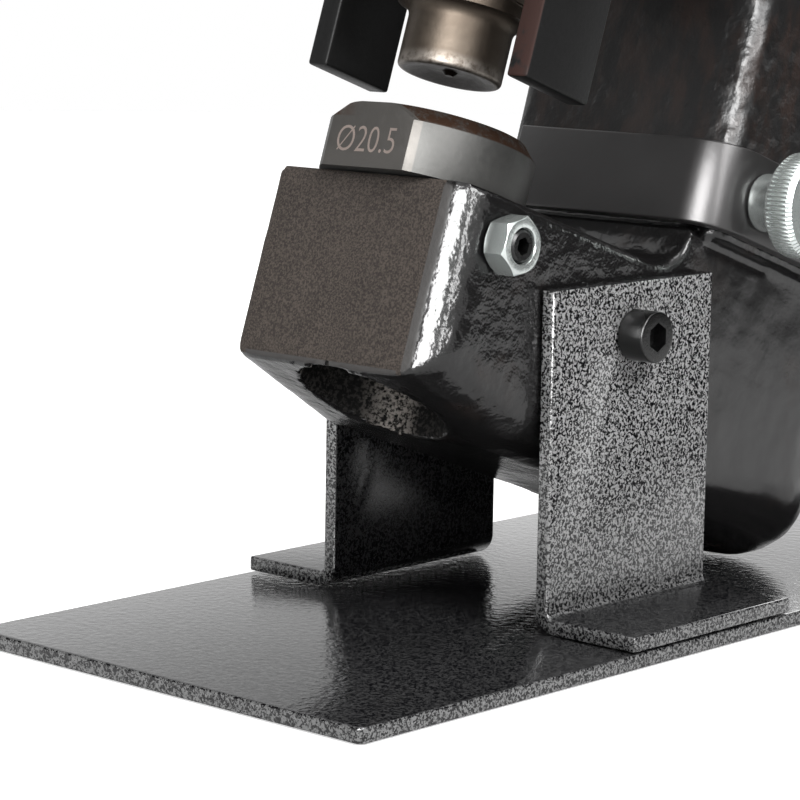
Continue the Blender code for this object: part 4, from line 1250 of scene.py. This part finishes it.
# The rest keeps its solids' shapes with softened edges: bevel width for each
softCopies = dict(
    stripper=0.0005,
    ram=0.0004,
    pump_block=0.0005,
    lever_yoke=0.0006,
    release_knob=0.0007,
    relief_valve_screw=0.0003,
    plunger=0.0003,
    plunger_gland=0.0004,
    lever_pin=0.0002,
    filler_plug=0.0004,
    circlip_left=0.0002,
    circlip_right=0.0002,
)

# Socket screws: length, and the distances of their heads from the middle
pivotScrews = dict(
    long=0.0160,
    side=0.0297,
)
headScrews = dict(
    stripper_screw_=dict(size="m5", long=0.0160, spot=(0.0215, 0.0225, 0.0604), axis="-Z"),
    block_bolt_=dict(size="m6", long=0.0220, spot=(0.0345, 0.0150, 0.1646), axis="Z"),
)


def makeScrews():
    back = place["baseFront"] + sheetShape["setback"] + sheetShape["holeBack"]
    for name, side, axis in (("pivot_screw_left", -1, "-X"), ("pivot_screw_right", 1, "X")):
        spot = (side * pivotScrews["side"], back, sheetShape["holeHeight"])
        makeSocketScrew(name, "m6", pivotScrews["long"], spot, axis, leaning=False)
    for index, (side, way) in enumerate(((-1, -1), (1, -1), (-1, 1), (1, 1)), 1):
        for title, own in headScrews.items():
            across, along, up = own["spot"]
            spot = (side * across, way * along, up)
            makeSocketScrew(title + str(index), own["size"], own["long"], spot, own["axis"])


makeCasting(casting)
print("casting made")
makeDie(dieShape)
makePunch(punchShape)
makePunchNut(punchShape)
makeJawScrew(jawScrew)
makeStop(stopShape)
makeThumb(thumbShape)
print("die, punch and stop made")
makeBracket("bracket_left", -1, sheetShape)
makeBracket("bracket_right", 1, sheetShape)
makeBase(sheetShape)
makeScrews()
makeReservoir(upper)
makeLever(upper)
for name, width in softCopies.items():
    mesh = softened(cleanCopy(name), width)
    addPiece(name + "_soft", mesh, finishOf.get(name, "oxide"), name, smooth=32, leaning=False)
print("pieces made")


# Light: a white room that the camera and glossy rays see, soft lamps, and a pale floor
studio = dict(
    ambient=0.28,
    floorRadius=1.6,
    floorSides=64,
    floorDrop=0.0002,
    floorGlow=0.62,
    floorColour=0.80,
    glossLamps=("strip", "side"),
    panelThick=0.002,
)
lamps = dict(
    strip=dict(spot=(0.36, -0.90, 0.42), aim=(0, -0.02, 0.10), size=(0.50, 0.62), power=30),
    side=dict(spot=(0.80, -0.45, 0.55), aim=(0, -0.02, 0.10), size=(0.10, 0.80), power=8),
    key=dict(spot=(0.85, -0.15, 0.90), aim=(0, -0.02, 0.10), size=(0.45, 0.45), power=11),
    fill=dict(spot=(-0.80, -0.50, 0.55), aim=(0, -0.02, 0.10), size=(0.50, 0.50), power=3),
    top=dict(spot=(0.0, 0.10, 1.20), aim=(0, 0.02, 0.10), size=(0.60, 0.60), power=7),
    back=dict(spot=(-0.35, 0.85, 0.60), aim=(0, 0, 0.12), size=(0.50, 0.50), power=4),
)


def roomLight(own):
    world = bpy.data.worlds.new("room")
    scene.world = world
    world.use_nodes = True
    tree = world.node_tree
    background = tree.nodes["Background"]
    path = tree.nodes.new("ShaderNodeLightPath")
    camera = Signal(tree, path.outputs["Is Camera Ray"])
    glossy = Signal(tree, path.outputs["Is Glossy Ray"])
    through = Signal(tree, path.outputs["Is Transmission Ray"])
    seen = (camera + glossy + through).smaller(1.0)
    strength = seen.fade(0, 1, own["ambient"])
    tree.links.new(strength.socket, background.inputs["Strength"])
    background.inputs["Color"].default_value = (1, 1, 1, 1)


def aimed(own):
    # Stands at the spot, with Z pointing away from the aim
    spot = Vector(own["spot"])
    away = spot - Vector(own["aim"])
    return Matrix.Translation(spot) @ away.to_track_quat("Z", "Y").to_matrix().to_4x4()


def addLamp(name, own):
    data = bpy.data.lights.new(name, "AREA")
    data.shape = "RECTANGLE"
    data.size, data.size_y = own["size"]
    data.energy = own["power"]
    made = bpy.data.objects.new(name, data)
    made.matrix_world = aimed(own)
    scene.collection.objects.link(made)
    made.visible_diffuse = name not in studio["glossLamps"]


# Panels that only mirror-like rays see: two dark ones for black paint and steel, and a grey one behind
panels = dict(
    panelRight=dict(spot=(0.34, 0.34, 0.15), aim=(0.02, 0, 0.10), size=(0.75, 0.60), glow=0.0),
    panelLeft=dict(spot=(-0.36, -0.42, 0.36), aim=(0, -0.04, 0.10), size=(0.60, 0.60), glow=0.0),
    panelBack=dict(spot=(-0.461, 0.246, 0.12), aim=(-0.131, -0.119, 0.07), size=(0.34, 0.60), glow=0.80),
)


def addPanel(name, own):
    wide, tall = (size / 2 for size in own["size"])
    made = pushed([(-wide, -tall), (wide, -tall), (wide, tall), (-wide, tall)], 0, studio["panelThick"])
    made.transform(aimed(own))
    panel = bpy.data.objects.new(name, meshOf(made, name))
    scene.collection.objects.link(panel)
    material = Finish(name, Roughness=1.0, Emission_Strength=1.0)
    glow = (own["glow"],) * 3
    panel.data.materials.append(material.set(Base_Color=(0.0, 0.0, 0.0), Emission_Color=glow))
    panel.visible_camera = False
    panel.visible_diffuse = False
    panel.visible_shadow = False
    panel.visible_transmission = False


def addFloor(own):
    made = bmesh.new()
    bmesh.ops.create_circle(made, cap_ends=True, radius=own["floorRadius"], segments=own["floorSides"])
    mesh = bpy.data.meshes.new("floor")
    made.to_mesh(mesh)
    made.free()
    floor = bpy.data.objects.new("floor", mesh)
    floor.location.z = cadBox[0][2] - own["floorDrop"]
    scene.collection.objects.link(floor)
    material = Finish("floor_white", Roughness=0.9, Emission_Strength=1.0)
    path = material.tree.nodes.new("ShaderNodeLightPath")
    seen = Signal(material.tree, path.outputs["Is Camera Ray"])
    glow = seen.tint((0, 0, 0), (own["floorGlow"],) * 3)
    colour = (own["floorColour"],) * 3
    mesh.materials.append(material.set(Base_Color=colour, Emission_Color=glow))


roomLight(studio)
for name, own in lamps.items():
    addLamp(name, own)
addFloor(studio)
for name, own in panels.items():
    addPanel(name, own)
scene.view_settings.view_transform = "Standard"
print("studio ready")
